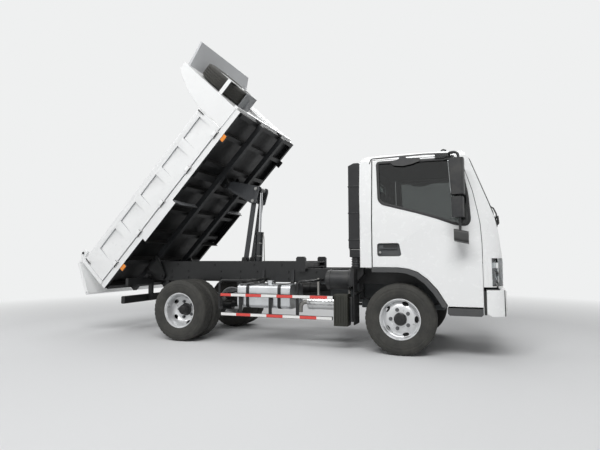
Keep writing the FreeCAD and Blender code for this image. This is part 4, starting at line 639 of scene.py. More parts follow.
rain_visor = [(-0.078, 2.110), (-0.049, 2.080), (0.054, 2.064), (0.150, 2.079), (0.236, 2.106), (0.250, 2.132),
              (0.232, 2.148), (0.098, 2.146), (0.092, 2.172), (0.022, 2.170), (0.016, 2.144), (-0.041, 2.136)]
grab = [(-0.02, -0.045), (-0.02, -0.075), (0.22, -0.075), (0.22, -0.045)]


def around(count, shift=0.0):
    """The sine and cosine of turns spaced evenly round a circle."""
    return [(math.sin(turn), math.cos(turn)) for turn in (2 * math.pi * (k + shift) / count for k in range(count))]


lock_rim = [(-0.202 + 0.013 * a, 1.112 + 0.013 * b) for a, b in around(20)]


def in_dish(centre, normal):
    """The walls, floor and pull of the handle's dish."""
    x, y, z = centre.x - axle, abs(centre.y), centre.z
    return -0.236 < x < 0.038 and 1.064 < z < 1.216 and (y < 0.8585 or z > 1.145 and y < 0.8575) and y > 0.83


def door_inside(centre, normal):
    """All that lies deeper than the door's outer skin and its folds."""
    return abs(centre.y) < side_y(centre.z) - 0.030


for side, tag in both_sides:
    door = "door_" + tag
    skin = skin_of(door, door, 0.004, cab_white, handle_grey, in_dish)
    paint_where(skin, lining, door_inside)

    def on_door(a, b, lift, side=side):
        """A place on the door: ahead of the axle, up, and off its skin."""
        return (axle + a, side * (side_y(b) + lift), b)

    rubber = ring_form(rounded(seal_window, 0.03), 0.012, 0.017, -0.020, 0.0045, on_door)
    piece("window_rubber_" + tag, rubber, door, seal_black)
    for name, outline, low, high, finish in (
            ("lock_", lock_rim, -0.016, -0.004, lock_steel),
            ("pull_shadow_", rounded(pull_shadow, 0.008), -0.0035, -0.0012, seal_black),
            ("door_card_", rounded(card, 0.04), -0.047, -0.0425, lining)):
        piece(name + tag, plate_form(outline, low, high, on_door), door, finish)
    pipe("grab_" + tag, [on_door(a, 1.14, lift) for a, lift in grab], 0.010, door, black_plastic, 0.02)
    piece("visor_clip_" + tag, plate_form(rain_visor, 0.003, 0.016, on_door), door, black_plastic)
    foot = side_y(2.15) + 0.003
    ribs = [(0.405 + 0.026 * k, 0.424 + 0.026 * k) for k in range(6)]
    base = [block(side, span, (foot, foot + 0.032), (2.132, 2.168)) for span in ribs]
    base.append(block(side, (0.405, 0.554), (foot, foot + 0.023), (2.136, 2.164)))
    piece("mirror_base_" + tag, block_form(*base), door, black_plastic)

# ---- mirrors -------------------------------------------------------------------------------------
# Black plastic housings on a bent painted tube: main, wide-angle and kerb mirror, the first two with
# a silvered glass. The kerb mirror hangs at a slope, and the main one leans back towards its foot.

mirror_silver = new_material("silvered mirror glass", Base_Color="#D6DADB", Metallic=1.0, Roughness=0.03)[0]
bead = 0.0125  # the housing's rim round the glass
main_low, main_high, main_lean = 1.692, 2.067, 0.024
for side, tag in both_sides:
    heads = skin_of("mirror_" + tag, "door_" + tag, 0.006, black_plastic, segments=3)
    for spot in (vertex.co for vertex in heads.data.vertices):
        if abs(spot.y) > 0.90 and spot.z < 1.345:
            spot.z -= 0.22 * (spot.x - axle - 0.662)
        elif abs(spot.y) > 0.90 and 1.690 < spot.z < 2.070 and spot.x < axle + 0.600:
            spot.x += main_lean * (main_high - spot.z) / (main_high - main_low)
    for name, rear, out, inward, low, high, lean in (("main", 0.545, 0.075, 0.080, main_low, main_high, main_lean),
                                                     ("wide", 0.575, 0.070, 0.065, 1.462, 1.668, 0.0)):
        left, right, bottom, top = bead - out, inward - bead - 0.004, low + bead, high - bead
        corners = [(left, bottom), (right, bottom), (right, top), (left, top)]

        def on_glass(a, b, lift, side=side, rear=rear, out=out, high=high, slope=lean / (high - low)):
            return (axle + rear + 0.007 + (a + out) * 0.078 + slope * (high - b) - lift, side * (1.0 - a), b)

        pane = plate_form(rounded(corners, 0.02), -0.0005, 0.0035, on_glass)
        piece(f"{name}_glass_{tag}", pane, "door_" + tag, mirror_silver)

# ---- snorkel -------------------------------------------------------------------------------------
# The air intake stands behind the cab: a blown plastic duct with moulded seams, a louvred mouth, and
# a rubber bellows that lets the cab tilt off the air cleaner.

duct_black = moulded("glossy black blown polyethylene", "#1A1B1D", 0.30, 3.0, "#4A4A48", 0.12)
skin_of("snorkel", "cab", 0.012, duct_black, segments=3)
clamp = [(axle + x, y, 1.150) for x, y in ((-0.584, -0.744), (-0.443, -0.744), (-0.443, -0.616), (-0.584, -0.616))]
pipe("snorkel_clamp", clamp, 0.007, "cab", lock_steel, 0.03, True)

# ---- headlamps -----------------------------------------------------------------------------------
# A clear polycarbonate lens wraps each corner over two aluminised bowls on a faceted back plate.
# Behind the lens the same moulding is painted with the cab.

lens_clear = new_material("clear polycarbonate lens", Base_Color="#F2F5F6", Transmission_Weight=1.0,
                          Roughness=0.03)[0]
bowl_silver = brushed_metal("aluminised reflector", "#EDEEEE", 0.08, 8.0)
facet_silver = embossed(brushed_metal("faceted reflector", "#C9CCCE", 0.18, 8.0), 34.0, 1.0, 0.02)
lamps = skin_of("headlamps", "cab", 0.003, lens_clear)
shape = bmesh.new()
shape.from_mesh(lamps.data)
bmesh.ops.bisect_plane(shape, geom=[*shape.verts, *shape.edges, *shape.faces], plane_co=(axle + 0.940, 0, 0),
                       plane_no=(1, 0, 0))
shape.to_mesh(lamps.data)
shape.free()
paint_where(lamps, cab_white, lambda centre, normal: centre.x - axle < 0.940)


def lathe(profile, spot, steps=96, closed=True):
    """A profile of (radius, distance out) turned about an axle; spot places what lies across, out and up."""
    shape = skinned([[spot(r * sine, out, r * cosine) for r, out in profile] for sine, cosine in around(steps)], closed)
    bmesh.ops.remove_doubles(shape, verts=shape.verts, dist=1e-6)
    bmesh.ops.dissolve_degenerate(shape, edges=shape.edges, dist=1e-6)
    bmesh.ops.recalc_face_normals(shape, faces=shape.faces)
    return shape


bowl = [(0.0, 0.0), (0.3, 0.006), (0.6, 0.020), (0.85, 0.038), (1.0, 0.052), (1.06, 0.052), (0.9, 0.034),
        (0.62, 0.014), (0.3, 0.0), (0.0, -0.006)]
for side, tag in both_sides:
    for level, z, radius in (("low", 0.835, 0.052), ("high", 0.955, 0.058)):
        form = lathe([(radius * r, deep) for r, deep in bowl],
                     lambda across, out, up: (axle + 0.945 + out, side * 0.735 + across, z + up), 36, False)
        piece(f"lamp_bowl_{tag}_{level}", form, "cab", bowl_silver)
housings = [block(side, (0.930, 0.940), (0.620, 0.812), (0.775, 1.030)) for side in (-1, 1)]
piece("lamp_housings", block_form(*housings), "cab", facet_silver)

# ---- wheels --------------------------------------------------------------------------------------
# Pressed steel disc wheels in silver enamel carry narrow light-truck tyres with four zigzag grooves.
# Rubber is dull charcoal with a faint bloom on the walls; the front hub wears a black plastic cap.

rubber, tree, shader, coords = new_material("moulded tyre rubber", Roughness=0.78)
bloom = add_node(tree, "ShaderNodeTexNoise", Vector=coords, Scale=9.0, Detail=6.0, Roughness=0.65)
grain = add_node(tree, "ShaderNodeTexNoise", Vector=coords, Scale=420.0, Detail=3.0)
connect(shader, Base_Color=two_colours(tree, bloom, "#2B2B29", "#403F3B", 0.3, 0.75),
        Normal=add_node(tree, "ShaderNodeBump", Height=grain, Strength=0.15, Distance=0.0005))
wheel_silver = worn_paint("silver wheel enamel", "#DADBDC", "#8F8B84", 0.3, grain_mm=0.35, coat=0.3, dust_amount=0.05,
                          uneven=0.05)
connect(wheel_silver.node_tree.nodes["Principled BSDF"], Metallic=0.5)
nut_steel = brushed_metal("phosphated nut steel", "#6B6C6E", 0.42, 0.8)
hub_black = clouded("black glass-filled nylon", 260.0, 3.0, relief=(0.2, 0.0004), Base_Color="#1B1B1C",
                    Roughness=0.45)

tyre_radius, rim_radius = 0.388, 0.222
tyre_wall = [  # radius and distance from the middle plane: bead, wall, shoulder
    (rim_radius - 0.012, 0.078), (rim_radius + 0.003, 0.080), (0.240, 0.089), (0.262, 0.096), (0.285, 0.0995),
    (0.300, 0.0988), (0.303, 0.1000), (0.308, 0.1000), (0.311, 0.0988), (0.330, 0.0975), (0.333, 0.0985),
    (0.338, 0.0982), (0.341, 0.0965), (0.356, 0.0930), (0.370, 0.0885), (0.379, 0.0825), (0.384, 0.0760),
]
grooves = (-0.048, -0.016, 0.016, 0.048)
groove_deep, crown = 0.010, 0.9  # how deep the grooves are, and how fast the tread falls off from its middle


def tyre(name, centre, body):
    """A tyre as a ring of sections; every other pair of sections shifts the grooves to make the zigzag."""
    section = [(r, -w, False) for r, w in tyre_wall]
    for groove in grooves:
        for shift, deep in ((-0.0045, 0), (-0.0030, 1), (0.0030, 1), (0.0045, 0)):
            low = tyre_radius - 0.0008 - groove_deep * deep - abs(groove) ** 2 * crown
            section.append((low, groove + shift, True))
    section += [(r, w, False) for r, w in reversed(tyre_wall)]
    rings = []
    for step, (sine, cosine) in enumerate(around(168)):
        zigzag = 0.0035 if step % 4 < 2 else -0.0035
        notch = 0.006 if step % 4 == 0 else 0.0
        ring = []
        for radius, across, moving in section:
            r = radius - (notch if 0.372 < radius < 0.3862 and not moving else 0.0)
            y = across + (zigzag if moving else 0.0)
            ring.append((centre[0] + r * sine, centre[1] + y, centre[2] + r * cosine))
        rings.append(ring)
    return piece(name, skinned(rings), body, rubber)


def carve(shape, cutters):
    """Cuts closed forms out of a closed form and returns the mesh."""
    base, tool = (stand("form", to_mesh(form, "form")) for form in (shape, cutters))
    modifier = base.modifiers.new("carve", "BOOLEAN")
    modifier.operation = "DIFFERENCE"
    modifier.solver = "EXACT"
    modifier.object = tool
    result = evaluated(base)
    for thing in (base, tool):
        bpy.data.objects.remove(thing)
    return result


rim = [
    (0.207, 0.072), (0.212, 0.078), (0.2145, 0.086), (0.2185, 0.0868), (0.222, 0.0855), (0.222, 0.0803),
    (0.2097, 0.0803), (0.2097, -0.0803), (0.222, -0.0803), (0.222, -0.0855), (0.2185, -0.0868), (0.2120, -0.0780),
    (0.2050, -0.0700),
]
front_face = [
    (0.034, 0.056), (0.108, 0.056), (0.132, 0.054), (0.152, 0.048), (0.170, 0.036), (0.182, 0.024), (0.192, 0.018),
    (0.198, 0.022), (0.200, 0.040), (0.202, 0.062), *rim, (0.2000, -0.0500), (0.1980, 0.004), (0.190, 0.006),
    (0.180, 0.014), (0.166, 0.026), (0.150, 0.037), (0.130, 0.043), (0.034, 0.045),
]
rear_face = [
    (0.034, -0.074), (0.120, -0.074), (0.140, -0.070), (0.158, -0.058), (0.174, -0.040), (0.186, -0.022),
    (0.194, 0.000), (0.198, 0.030), (0.201, 0.058), *rim, (0.2010, -0.0500), (0.196, -0.030), (0.186, -0.046),
    (0.170, -0.066), (0.150, -0.080), (0.128, -0.085), (0.034, -0.085),
]
front_cap = [(0.0, 0.108), (0.018, 0.108), (0.022, 0.104), (0.030, 0.104), (0.034, 0.108), (0.052, 0.106),
             (0.060, 0.098), (0.066, 0.084), (0.070, 0.062), (0.071, 0.0565), (0.0, 0.0565)]
rear_cap = [(0.0, 0.024), (0.040, 0.024), (0.046, 0.020), (0.048, 0.006), (0.056, 0.004), (0.062, -0.004),
            (0.064, -0.060), (0.078, -0.066), (0.082, -0.0735), (0.0, -0.0735)]
rear_sizes = ("rear", rear_face, (0.168, 0.034, 0.020), (-0.150, -0.090), -0.074, rear_cap)
wheel_sizes = {  # slots' ending, disc, hand holes (ring, length, width), brake drum, nuts' seat, cap
    "front": ("front", front_face, (0.171, 0.037, 0.021), (-0.076, -0.006), 0.056, front_cap),
    "rear": rear_sizes,
    "inner": rear_sizes,
}


def marked(centre, outward, radius, out, count, shift=0.0):
    """Spots for bolts round a wheel's axle."""
    return [((centre[0] + radius * a, centre[1] + outward * out, centre[2] + radius * b), (0, outward, 0))
            for a, b in around(count, shift)]


for kind, body, x, y, way in (("front", "wheel_front_", 0.0, 0.760, 1), ("rear", "wheels_rear_", -2.8, 0.800, 1),
                              ("inner", "wheels_rear_", -2.8, 0.568, -1)):
    end, disc, (ring, long, short), (drum_low, drum_high), seat, cap = wheel_sizes[kind]
    tyre_slot, rim_slot = ("tyre_front", "rim_front") if end == "front" else ("tyres_rear", "rims_rear")
    for side, hand in both_sides:
        centre, outward, wheel = (axle + x, side * y, tyre_radius), side * way, body + hand
        tag = wheel + ("_inner" if kind == "inner" else "")

        def by_axle(across, out, up, centre=centre, outward=outward):
            return (centre[0] + across, centre[1] + outward * out, centre[2] + up)

        tyre(tag + "_tyre", centre, wheel)
        cutters = bmesh.new()
        for k in range(5):
            hole = bmesh.ops.create_cone(cutters, cap_ends=True, segments=28, radius1=1, radius2=1, depth=1)
            spin = Matrix.Rotation(2 * math.pi * (k + 0.25) / 5, 4, "Y")
            upright = Matrix.Rotation(math.pi / 2, 4, "X") @ Matrix.Diagonal((long, short, 0.30, 1))
            bmesh.ops.transform(cutters, matrix=Matrix.Translation(centre) @ spin @ Matrix.Translation((0, 0, ring))
                                @ upright, verts=hole["verts"])
        eased(piece(tag + "_disc", carve(lathe(disc, by_axle), cutters), wheel, wheel_silver), 0.0015, 2, 40)
        if kind == "inner":
            continue
        drum = [(0.090, drum_low), (0.176, drum_low), (0.178, drum_low + 0.006), (0.178, drum_high - 0.010),
                (0.170, drum_high), (0.090, drum_high)]
        piece(tag + "_brake_drum", lathe(drum, by_axle, 48), wheel, chassis_black)
        bolts(tag + "_nuts", wheel, marked(centre, outward, 0.104, seat, 5, 0.75), 0.0155, 0.024, nut_steel)
        piece(tag + "_hub_cap", lathe(cap, by_axle, 48), wheel, hub_black)
        if kind == "rear":
            bolts(tag + "_shaft_bolts", wheel, marked(centre, outward, 0.030, 0.024, 8), 0.006, 0.008,
                  chassis_black)
        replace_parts(bpy.data.objects[tag + "_tyre"], f"{tyre_slot}_{hand}")
        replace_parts(bpy.data.objects[tag + "_disc"], f"{rim_slot}_{hand}")

# ---- front mud flaps -----------------------------------------------------------------------------
# Thick moulded rubber flaps with three stiffening ribs hang behind the front wheels. Each is clamped
# to a tube that stands out from the rear hanger of the front spring.

flap_rubber = moulded("black flap rubber", "#17181A", 0.78, 2.2)
flap = rounded([(0.600, 0.300), (0.842, 0.300), (0.842, 0.925), (0.676, 0.925), (0.676, 0.664), (0.600, 0.664)], 0.02)
for side, tag in both_sides:
    form = plate_form(flap, 0.0, 0.009, lambda a, b, lift: (axle - 0.515 + lift, side * a, b))
    eased(piece("mud_flap_" + tag, form, "chassis", flap_rubber), 0.002)
    ribs = [block(side, (-0.507, -0.501), (0.630, 0.825), (z, z + 0.014)) for z in (0.38, 0.46, 0.54)]
    piece("flap_ribs_" + tag, block_form(*ribs), "chassis", flap_rubber)
    pipe("flap_tube_" + tag, [(axle - 0.500, side * y, 0.652) for y in (0.365, 0.826)], 0.011, "chassis",
         chassis_black)

# ---- air tank and filter box ---------------------------------------------------------------------
# A black pressed air tank is strapped to the left rail, inside the frame. On the right a ribbed
# moulded box and a dryer canister close the space between the side guard and the front wheel.

tank_y, tank_z, tank_radius, band_radius = 0.190, 0.625, 0.098, 0.101
tank = pipe("air_tank", [(axle + x, tank_y, tank_z) for x in (-1.600, -0.640)], tank_radius, "chassis",
            chassis_black, facets=32)
eased(tank, 0.034, 4)
for number, x in enumerate((axle - 1.380, axle - 0.860)):
    band = [(x, tank_y + band_radius * a, tank_z + band_radius * b) for a, b in around(24)]
    hanger = [(x, 0.280, 0.665), (x, 0.345, 0.690), (x, 0.345, 0.760)]
    pipe(f"tank_band_{number + 1}", band, 0.005, "chassis", chassis_black, 0.01, True, 8)
    pipe(f"tank_hanger_{number + 1}", hanger, 0.010, "chassis", chassis_black)
box_olive = moulded("dark olive moulded polyamide", "#25261F", 0.55, 1.6, "#5C5A50", 0.2)
blocks = [block(1, (-0.742, -0.580), (-0.858, -0.700), (0.285, 0.640))]
blocks += [block(1, (x - 0.728, x - 0.718), (-0.866, -0.857), (0.300, 0.625)) for x in (0, 0.030, 0.060, 0.090, 0.120)]
eased(piece("filter_box", block_form(*blocks), "chassis", box_olive), 0.003)
canister = pipe("dryer_canister", [(axle - 0.552, -0.775, z) for z in (0.330, 0.610)], 0.030, "chassis",
                black_plastic, facets=24)
eased(canister, 0.009, 3)

# ---- bed floor -----------------------------------------------------------------------------------
# A welded steel floor on cross bearers and two long sills. Everything seen from below is black chassis
# enamel, thinner and dustier on the sills; the edge rails and corner posts are white outside.

tilt = math.radians(47)
pivot = Vector((axle - 3.446, 0, 0.800))
along_bed = Vector((math.cos(tilt), 0, math.sin(tilt)))
off_bed = Vector((-math.sin(tilt), 0, math.cos(tilt)))
pivot_u, pivot_w = 502, -330  # the pivot's own place in the bed's millimetres


def in_bed(u, y, w):
    """A place in the raised bed, from millimetres along it, across it and off its floor."""
    place = pivot + along_bed * (u - pivot_u) / 1000 + off_bed * (w - pivot_w) / 1000
    return (place.x, y / 1000, place.z)


def bed_axes(centre):
    """The bed's own millimetres of a place in the raised bed."""
    away = Vector(centre) - pivot
    return away.dot(along_bed) * 1000 + pivot_u, centre.y * 1000, away.dot(off_bed) * 1000 + pivot_w


def bed_form(side, *spans):
    """Closed blocks along the raised bed, from their spans along, out and up."""
    shape = block_form(*(block(side, *span, start=0) for span in spans))
    for vert in shape.verts:
        vert.co = in_bed(*vert.co)
    return shape


bed_white = worn_paint("white body enamel on steel plate", "#EDEEEE", "#B9B5AC", 0.30, 2.0, 0.45, 0.10, 0.02)
bed_black = worn_paint("black chassis enamel under the bed", "#0F1011", "#4A4843", 0.46, 1.8, 0.0, 0.30, 0.25)
sill_grey = worn_paint("dusty enamel of the long sills", "#202224", "#5C5953", 0.5, 1.8, 0.0, 0.45, 0.3)
brace_grey = worn_paint("primer-grey brace enamel", "#75777A", "#6B6862", 0.5, 1.8, 0.0, 0.2, 0.15)


def under_bed(centre, normal):
    """Black below the floor and on the edge's inner faces; white on the edge's outside, top and posts."""
    u, y, w = bed_axes(centre)
    facing = Vector(normal).dot(off_bed)
    outside = abs(y) > 870 and w > -81 and (normal.y * y > 0 and abs(normal.y) > 0.5)
    upper = w > 41 and facing > -0.5
    end = abs(y) > 850 and w > -21 and abs(facing) < 0.5 and (u < 3 or u > 3040)
    return not (outside or upper or end or w > 58.2)


def on_sill(centre, normal):
    """The long sills under the bearers."""
    u, y, w = bed_axes(centre)
    return 312 < abs(y) < 395 and w < -36.5 and u > 600


paint_where(skin_of("bed_floor", "bed", 0.002, bed_white, bed_black, under_bed, 1), sill_grey, on_sill)

# the bent brace under the skirt's front end, a pressed channel that widens towards the sill
brace = [(-884, -78), (-884, -24), (-560, -52), (-424, -44), (-424, -106), (-560, -100), (-800, -112)]
for side, tag in both_sides:
    form = plate_form(brace, 1601, 1612, lambda y, w, u: in_bed(u, -side * y, w))
    eased(piece("skirt_brace_" + tag, form, "bed", brace_grey), 0.003)

# ---- side markers --------------------------------------------------------------------------------
# Amber reflex markers in black rubber frames stand on tabs under the bed's edge.


def acrylic(name, colour, rough=0.16, scale=170.0, randomness=0.05):
    """Moulded acrylic, with fine prisms on its inner face that make it sparkle."""
    material = new_material(name, Base_Color=colour, Roughness=rough, Coat_Weight=0.6)[0]
    return embossed(material, scale, 0.5, 0.0015, randomness=randomness)


amber = acrylic("amber moulded acrylic", "#F08C1A")
marker_spots = (362, 2606)
for side, tag in both_sides:
    lenses = bed_form(side, *(((u + 8, u + 100), (872, 892), (-74, -16)) for u in marker_spots))
    frames = bed_form(side, *(((u, u + 108), (866, 886), (-82, -9)) for u in marker_spots))
    eased(piece("marker_lens_" + tag, lenses, "bed", amber), 0.008, 3)
    eased(piece("marker_frame_" + tag, frames, "bed", seal_black), 0.004)

# ---- side gates ----------------------------------------------------------------------------------
# Each drop side is one pressing with five sloping pockets, hung on five pinned hinges. The pockets' steep walls
# take a greyer copy of the white enamel as painted shade. The hinge knuckles are bare steel, dark partly with
# old grease and partly as painted shadow under the hinge leaves; a dark strip between the hinges is a painted
# shadow in the gap under the gate.

# the pockets' steep walls get a greyer copy of the white enamel: a painted shade
pocket_wall_painted_shade = worn_paint("white enamel greyed as painted shade on the pocket walls", "#A9ABAD", "#8D8A84", 0.36, 2.0, 0.2, 0.12, 0.02)
pocket_spans = ((345, 720), (850, 1200), (1320, 1680), (1810, 2170), (2300, 2655))
hinge_ends = (60, 325, 430, 885, 990, 1410, 1515, 1990, 2095, 2575, 2680, 2735)
# dark grease on pins and latches, and also the painted shadow on the hinge knuckles and in the gap under the gate
grease_and_shadow = clouded("hinge steel with grease and painted shadow", 45.0, 5.0, ("#141414", "#4A4A4A"), (0.25, 0.6), Metallic=0.6)


def in_pocket_wall(centre, normal):
    """The steep faces of the pockets, their tops and ends, which take the painted shade."""
    u, y, w = bed_axes(centre)
    inside = any(rear - 2 < u < front + 2 for rear, front in pocket_spans) and 150 < w < 416
    return inside and abs(normal.y) < 0.5 and abs(y) > 886


def on_hinge(centre, normal):
    """The hinge knuckles along the gate's lower edge, dark with grease and as painted shadow under the hinge leaves."""
    _, y, w = bed_axes(centre)
    return abs(y) > 905 and w < 68


for side, tag in both_sides:
    gate = "side_gate_" + tag
    paint_where(skin_of(gate, gate, 0.0035, bed_white, pocket_wall_painted_shade, in_pocket_wall), grease_and_shadow,
                on_hinge)
    for number, u in enumerate((85, 2713)):
        latch = [in_bed(u, side * y, w) for y, w in ((921, 484), (929, 470), (929, 400), (921, 380))]
        pipe(f"gate_latch_{tag}_{number + 1}", latch, 0.007, gate, grease_and_shadow, 0.01)
    # a thin dark strip on the rail between the hinges: a painted shadow in the gap under the gate
    seats = ((span, (880, 897), (57.6, 58.7)) for span in zip(hinge_ends[::2], hinge_ends[1::2]))
    piece("gate_gap_shadow_" + tag, bed_form(side, *seats), "bed", grease_and_shadow)

# ---- headboard and cab guard ---------------------------------------------------------------------
# Ribbed steel sheet with fixed wings; the guard over the cab is a bent sheet whose white enamel is greyed a tone as
# painted shade.

# the guard's white enamel greyed a tone: a painted shade of its shaded underside
guard_painted_shade = worn_paint("white enamel of the cab guard greyed as painted shade", "#BFC1C3", "#A19E98", 0.42, 2.0, 0.15, 0.2, 0.05)


def on_guard(centre, normal):
    """The bent sheet over the cab, greyed as painted shade."""
    u, _, w = bed_axes(centre)
    return u > 3046 and w > 1121 or u > 3050 and w > 1090


skin_of("headboard", "bed", 0.004, bed_white, guard_painted_shade, on_guard)
pipe("guard_fold", [in_bed(3378, y, 1287) for y in (-690, 690)], 0.008, "bed", guard_painted_shade)
for side, tag in both_sides:
    ends = bed_form(side, ((3050.5, 3078), (323, 387), (-26, 22)), ((3051, 3070), (343, 367), (22, 56)))
    eased(piece("sill_end_" + tag, ends, "bed", bed_black), 0.005)

# ---- spare wheel ---------------------------------------------------------------------------------
# The spare stands in a steel tray against the headboard, held by a white painted strap.

spare = tyre("spare_wheel_tyre", (0, 0, 0), "bed")
spare_u, spare_y, spare_w = 3155, -420, 680
for vert in spare.data.vertices:
    vert.co = in_bed(spare_u - vert.co.y * 1000, spare_y + vert.co.x * 1000, spare_w + vert.co.z * 1000)
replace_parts(spare, "spare_tyre")
carrier_grey = worn_paint("grey tray enamel", "#8A8C8E", "#6E6B65", 0.45, 1.6, 0.1, 0.3, 0.08)


def on_strap_or_disc(centre, normal):
    """The white strap and the wheel's own disc."""
    u, y, w = bed_axes(centre)
    disc = math.hypot(y - spare_y, w - spare_w) < 215
    return w > 300 and (y < -700 or u > 3240 and 415 < w < 485 or disc)


skin_of("spare_carrier", "bed", 0.002, carrier_grey, bed_white, on_strap_or_disc)

# ---- tailgate ------------------------------------------------------------------------------------
# A boxed steel gate with four pressed panels; two arms hang it from pins on the corner posts.

skin_of("tailgate", "tailgate", 0.004, bed_white)
for side, tag in both_sides:
    bolts("gate_pin_" + tag, "bed", [(in_bed(100, side * 918, 585), (0, side, 0))], 0.013, 0.012, grease_and_shadow)

# ---- hoist ---------------------------------------------------------------------------------------
# Under-bed tipping hoist: two flame-cut lift plates, two pull rods and a hydraulic ram. Plates and
# barrel are dark grey machine enamel; the piston rod is ground and hard chromed.

machine_grey = worn_paint("dark grey machine enamel", "#35373A", "#5E5B55", 0.38, 1.8, 0.15, 0.2, 0.1)
ram_black = worn_paint("black machine enamel", "#232527", "#55524C", 0.32, 1.8, 0.3, 0.12, 0.08)
for node, finish in (("lift_plates", machine_grey), ("pull_rods", machine_grey), ("hoist_barrel", ram_black)):
    skin_of(node, node, 0.003, finish)
hard_chrome = clouded("ground hard chrome", 120.0, 3.0, gloss=(0.06, 0.16), Base_Color="#D9DADC", Metallic=1.0)
ram_eye = Vector((axle - 2.080, 0, 2.020))
ram_foot = Vector((axle - 2.118, 0, 0.780))
ram_way = (ram_eye - ram_foot).normalized()
ram_front = Vector((ram_way.z, 0, -ram_way.x))
clamp_radius = 0.0575
eye_reach = 0.10  # the forged eye is painted; the rod below it is bare chrome
skin_of("hoist_rod", "hoist_rod", 0.002, hard_chrome, ram_black,
        lambda centre, normal: (centre - ram_eye).length < eye_reach)


def by_ram(up, out, aside=0.0):
    """A place beside the barrel: along it from its foot, ahead of it and across."""
    return tuple(ram_foot + ram_way * up + ram_front * out + Vector((0, aside, 0)))


oil_line = [by_ram(up, out) for up, out in ((0.150, 0.079), (0.150, 0.092), (0.215, 0.092), (0.560, 0.074),
                                            (0.610, 0.060))]
pipe("ram_oil_line", oil_line, 0.007, "hoist_barrel", pipe_steel)
for number, up in enumerate((0.300, 0.480)):
    ring = [by_ram(up, clamp_radius * cosine, clamp_radius * sine) for sine, cosine in around(24)]
    pipe(f"ram_clamp_{number + 1}", ring, 0.0045, "hoist_barrel", lock_steel, 0.001, True, 8)
for body, y, pins in (("lift_plates", 0.1665, ((-2.080, 2.020), (-2.129, 1.852))),
                      ("pull_rods", 0.1245, ((-2.250, 1.040),))):
    spots = [((axle + x, side * y, z), (0, side, 0)) for x, z in pins for side in (-1, 1)]
    bolts(body + "_pin_heads", body, spots, 0.017, 0.010, lock_steel, 12)

# ---- cabin ---------------------------------------------------------------------------------------
# A grained dashboard with a hooded cluster and a plain four-bar wheel, and three foam seats in grey
# woven cloth that crown between their seams. All of it is seen through tinted glass.

dash_grey = moulded("dark grey grained dashboard plastic", "#34363A", 0.6, 2.4, "#55565A", 0.1)
skin_of("dashboard", "cab", 0.006, dash_grey, segments=3)
visors = block_form(*(block(1, (0.520, 0.560), (y - 0.29, y + 0.29), (1.985, 2.095)) for y in (-0.40, 0.40)))
eased(piece("sun_visors", visors, "cab", dash_grey), 0.012, 3)

seat_cloth, tree, shader, coords = new_material("grey woven polyester over foam", Roughness=0.9, Sheen_Weight=0.25)
thread, weft = (add_node(tree, "ShaderNodeTexWave", {"bands_direction": way}, Vector=coords, Scale=90.0,
                         Distortion=1.0) for way in "YX")
weave = add_node(tree, "ShaderNodeMath", {"operation": "MULTIPLY"}, _0=thread.outputs["Fac"], _1=weft.outputs["Fac"])
connect(shader, Base_Color=two_colours(tree, weave, "#3F4347", "#5C6166"),
        Normal=add_node(tree, "ShaderNodeBump", Height=weave, Strength=0.3, Distance=0.0008))
swell_most = 0.016  # how far the cloth's pressure may push a point


def settle(thing):
    """Applies the piece's modifiers to its mesh."""
    made = evaluated(thing)
    thing.modifiers.clear()
    thing.data = made


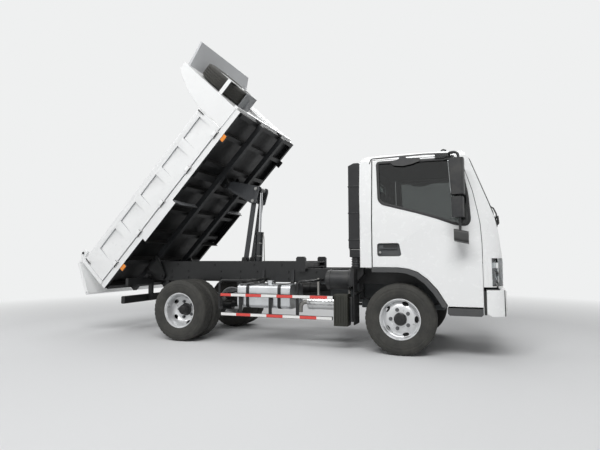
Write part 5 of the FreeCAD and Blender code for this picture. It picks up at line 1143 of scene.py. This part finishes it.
def pad(name, outline, low, high):
    """A foam pad: its side outline given width, blown up a little by cloth pressure between its seams."""
    form = plate_form(rounded(outline, 0.03), low + 0.02, high - 0.02, lambda x, z, y: (axle + x, y, z))
    thing = piece(name, form, "cab", seat_cloth)
    remesh = thing.modifiers.new("even mesh", "REMESH")
    remesh.mode = "VOXEL"
    remesh.voxel_size = 0.006
    settle(thing)
    start = [v.co.copy() for v in thing.data.vertices]
    cloth = thing.modifiers.new("foam", "CLOTH")
    cloth.settings.use_pressure = True
    cloth.settings.uniform_pressure_force = 4
    cloth.settings.effector_weights.gravity = 0
    cloth.point_cache.frame_start, cloth.point_cache.frame_end = 1, 20
    for frame_number in range(1, 21):
        scene.frame_set(frame_number)
    blown = thing.evaluated_get(bpy.context.evaluated_depsgraph_get()).to_mesh()
    moved = [v.co.copy() for v in blown.vertices]
    thing.evaluated_get(bpy.context.evaluated_depsgraph_get()).to_mesh_clear()
    thing.modifiers.remove(cloth)
    scene.frame_set(1)
    for vert, first, last in zip(thing.data.vertices, start, moved):
        way = last - first
        vert.co = first + way * min(1.0, swell_most / max(way.length, 1e-6))
    smooth = thing.modifiers.new("soft", "SMOOTH")
    smooth.factor, smooth.iterations = 0.5, 6
    settle(thing)
    thing.data.shade_smooth()


cushion = [(-0.325, 1.072), (0.185, 1.072), (0.202, 1.118), (0.172, 1.168), (-0.178, 1.153), (-0.325, 1.148)]
back = [(-0.296, 1.168), (-0.194, 1.168), (-0.262, 1.688), (-0.326, 1.690), (-0.364, 1.656)]
headrest = [(-0.346, 1.740), (-0.288, 1.740), (-0.296, 1.890), (-0.346, 1.890)]
bases = []
for tag, low, high in (("passenger", -0.760, -0.300), ("middle", -0.270, 0.120), ("driver", 0.170, 0.640)):
    middle = (low + high) / 2
    pad("seat_cushion_" + tag, cushion, low + 0.004, high - 0.004)
    pad("seat_back_" + tag, back, low + 0.014, high - 0.014)
    pad("headrest_" + tag, headrest, middle - 0.124, middle + 0.124)
    bases.append(block(1, (-0.330, 0.165), (low + 0.045, high - 0.045), (0.992, 1.058)))
    for side, hand in both_sides:
        stem = [(axle - 0.315, middle + side * 0.06, z) for z in (1.68, 1.75)]
        pipe(f"headrest_stem_{tag}_{hand}", stem, 0.007, "cab", lock_steel)
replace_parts(eased(piece("seat_boxes", block_form(*bases), "cab", black_plastic), 0.012, 3), "seats")

# ---- rear lamps ----------------------------------------------------------------------------------
# Moulded acrylic lens blocks, red, amber and clear, stand on black boards at the tail.

lens_red = acrylic("red moulded acrylic", "#B3211D")
lens_frost = acrylic("clear moulded acrylic", "#DDE0E2", 0.2, 150.0, 0.0)
for name, material, span in (("red", lens_red, (0.500, 0.628)), ("amber", amber, (0.632, 0.738)),
                             ("clear", lens_frost, (0.742, 0.835))):
    lenses = block_form(*(block(side, (-3.6965, -3.6885), span, (0.700, 0.770)) for side in (-1, 1)))
    eased(piece("tail_lens_" + name, lenses, "chassis", material), 0.003, 3)

# ---- engine and gearbox --------------------------------------------------------------------------
# One block stands in for both, in the grey enamel of a cast iron engine.

engine_grey = worn_paint("grey engine enamel on cast iron", "#55595B", "#3E3B36", 0.55, 3.5, uneven=0.2)
skin_of("engine_block", "chassis", 0.012, engine_grey, segments=3)
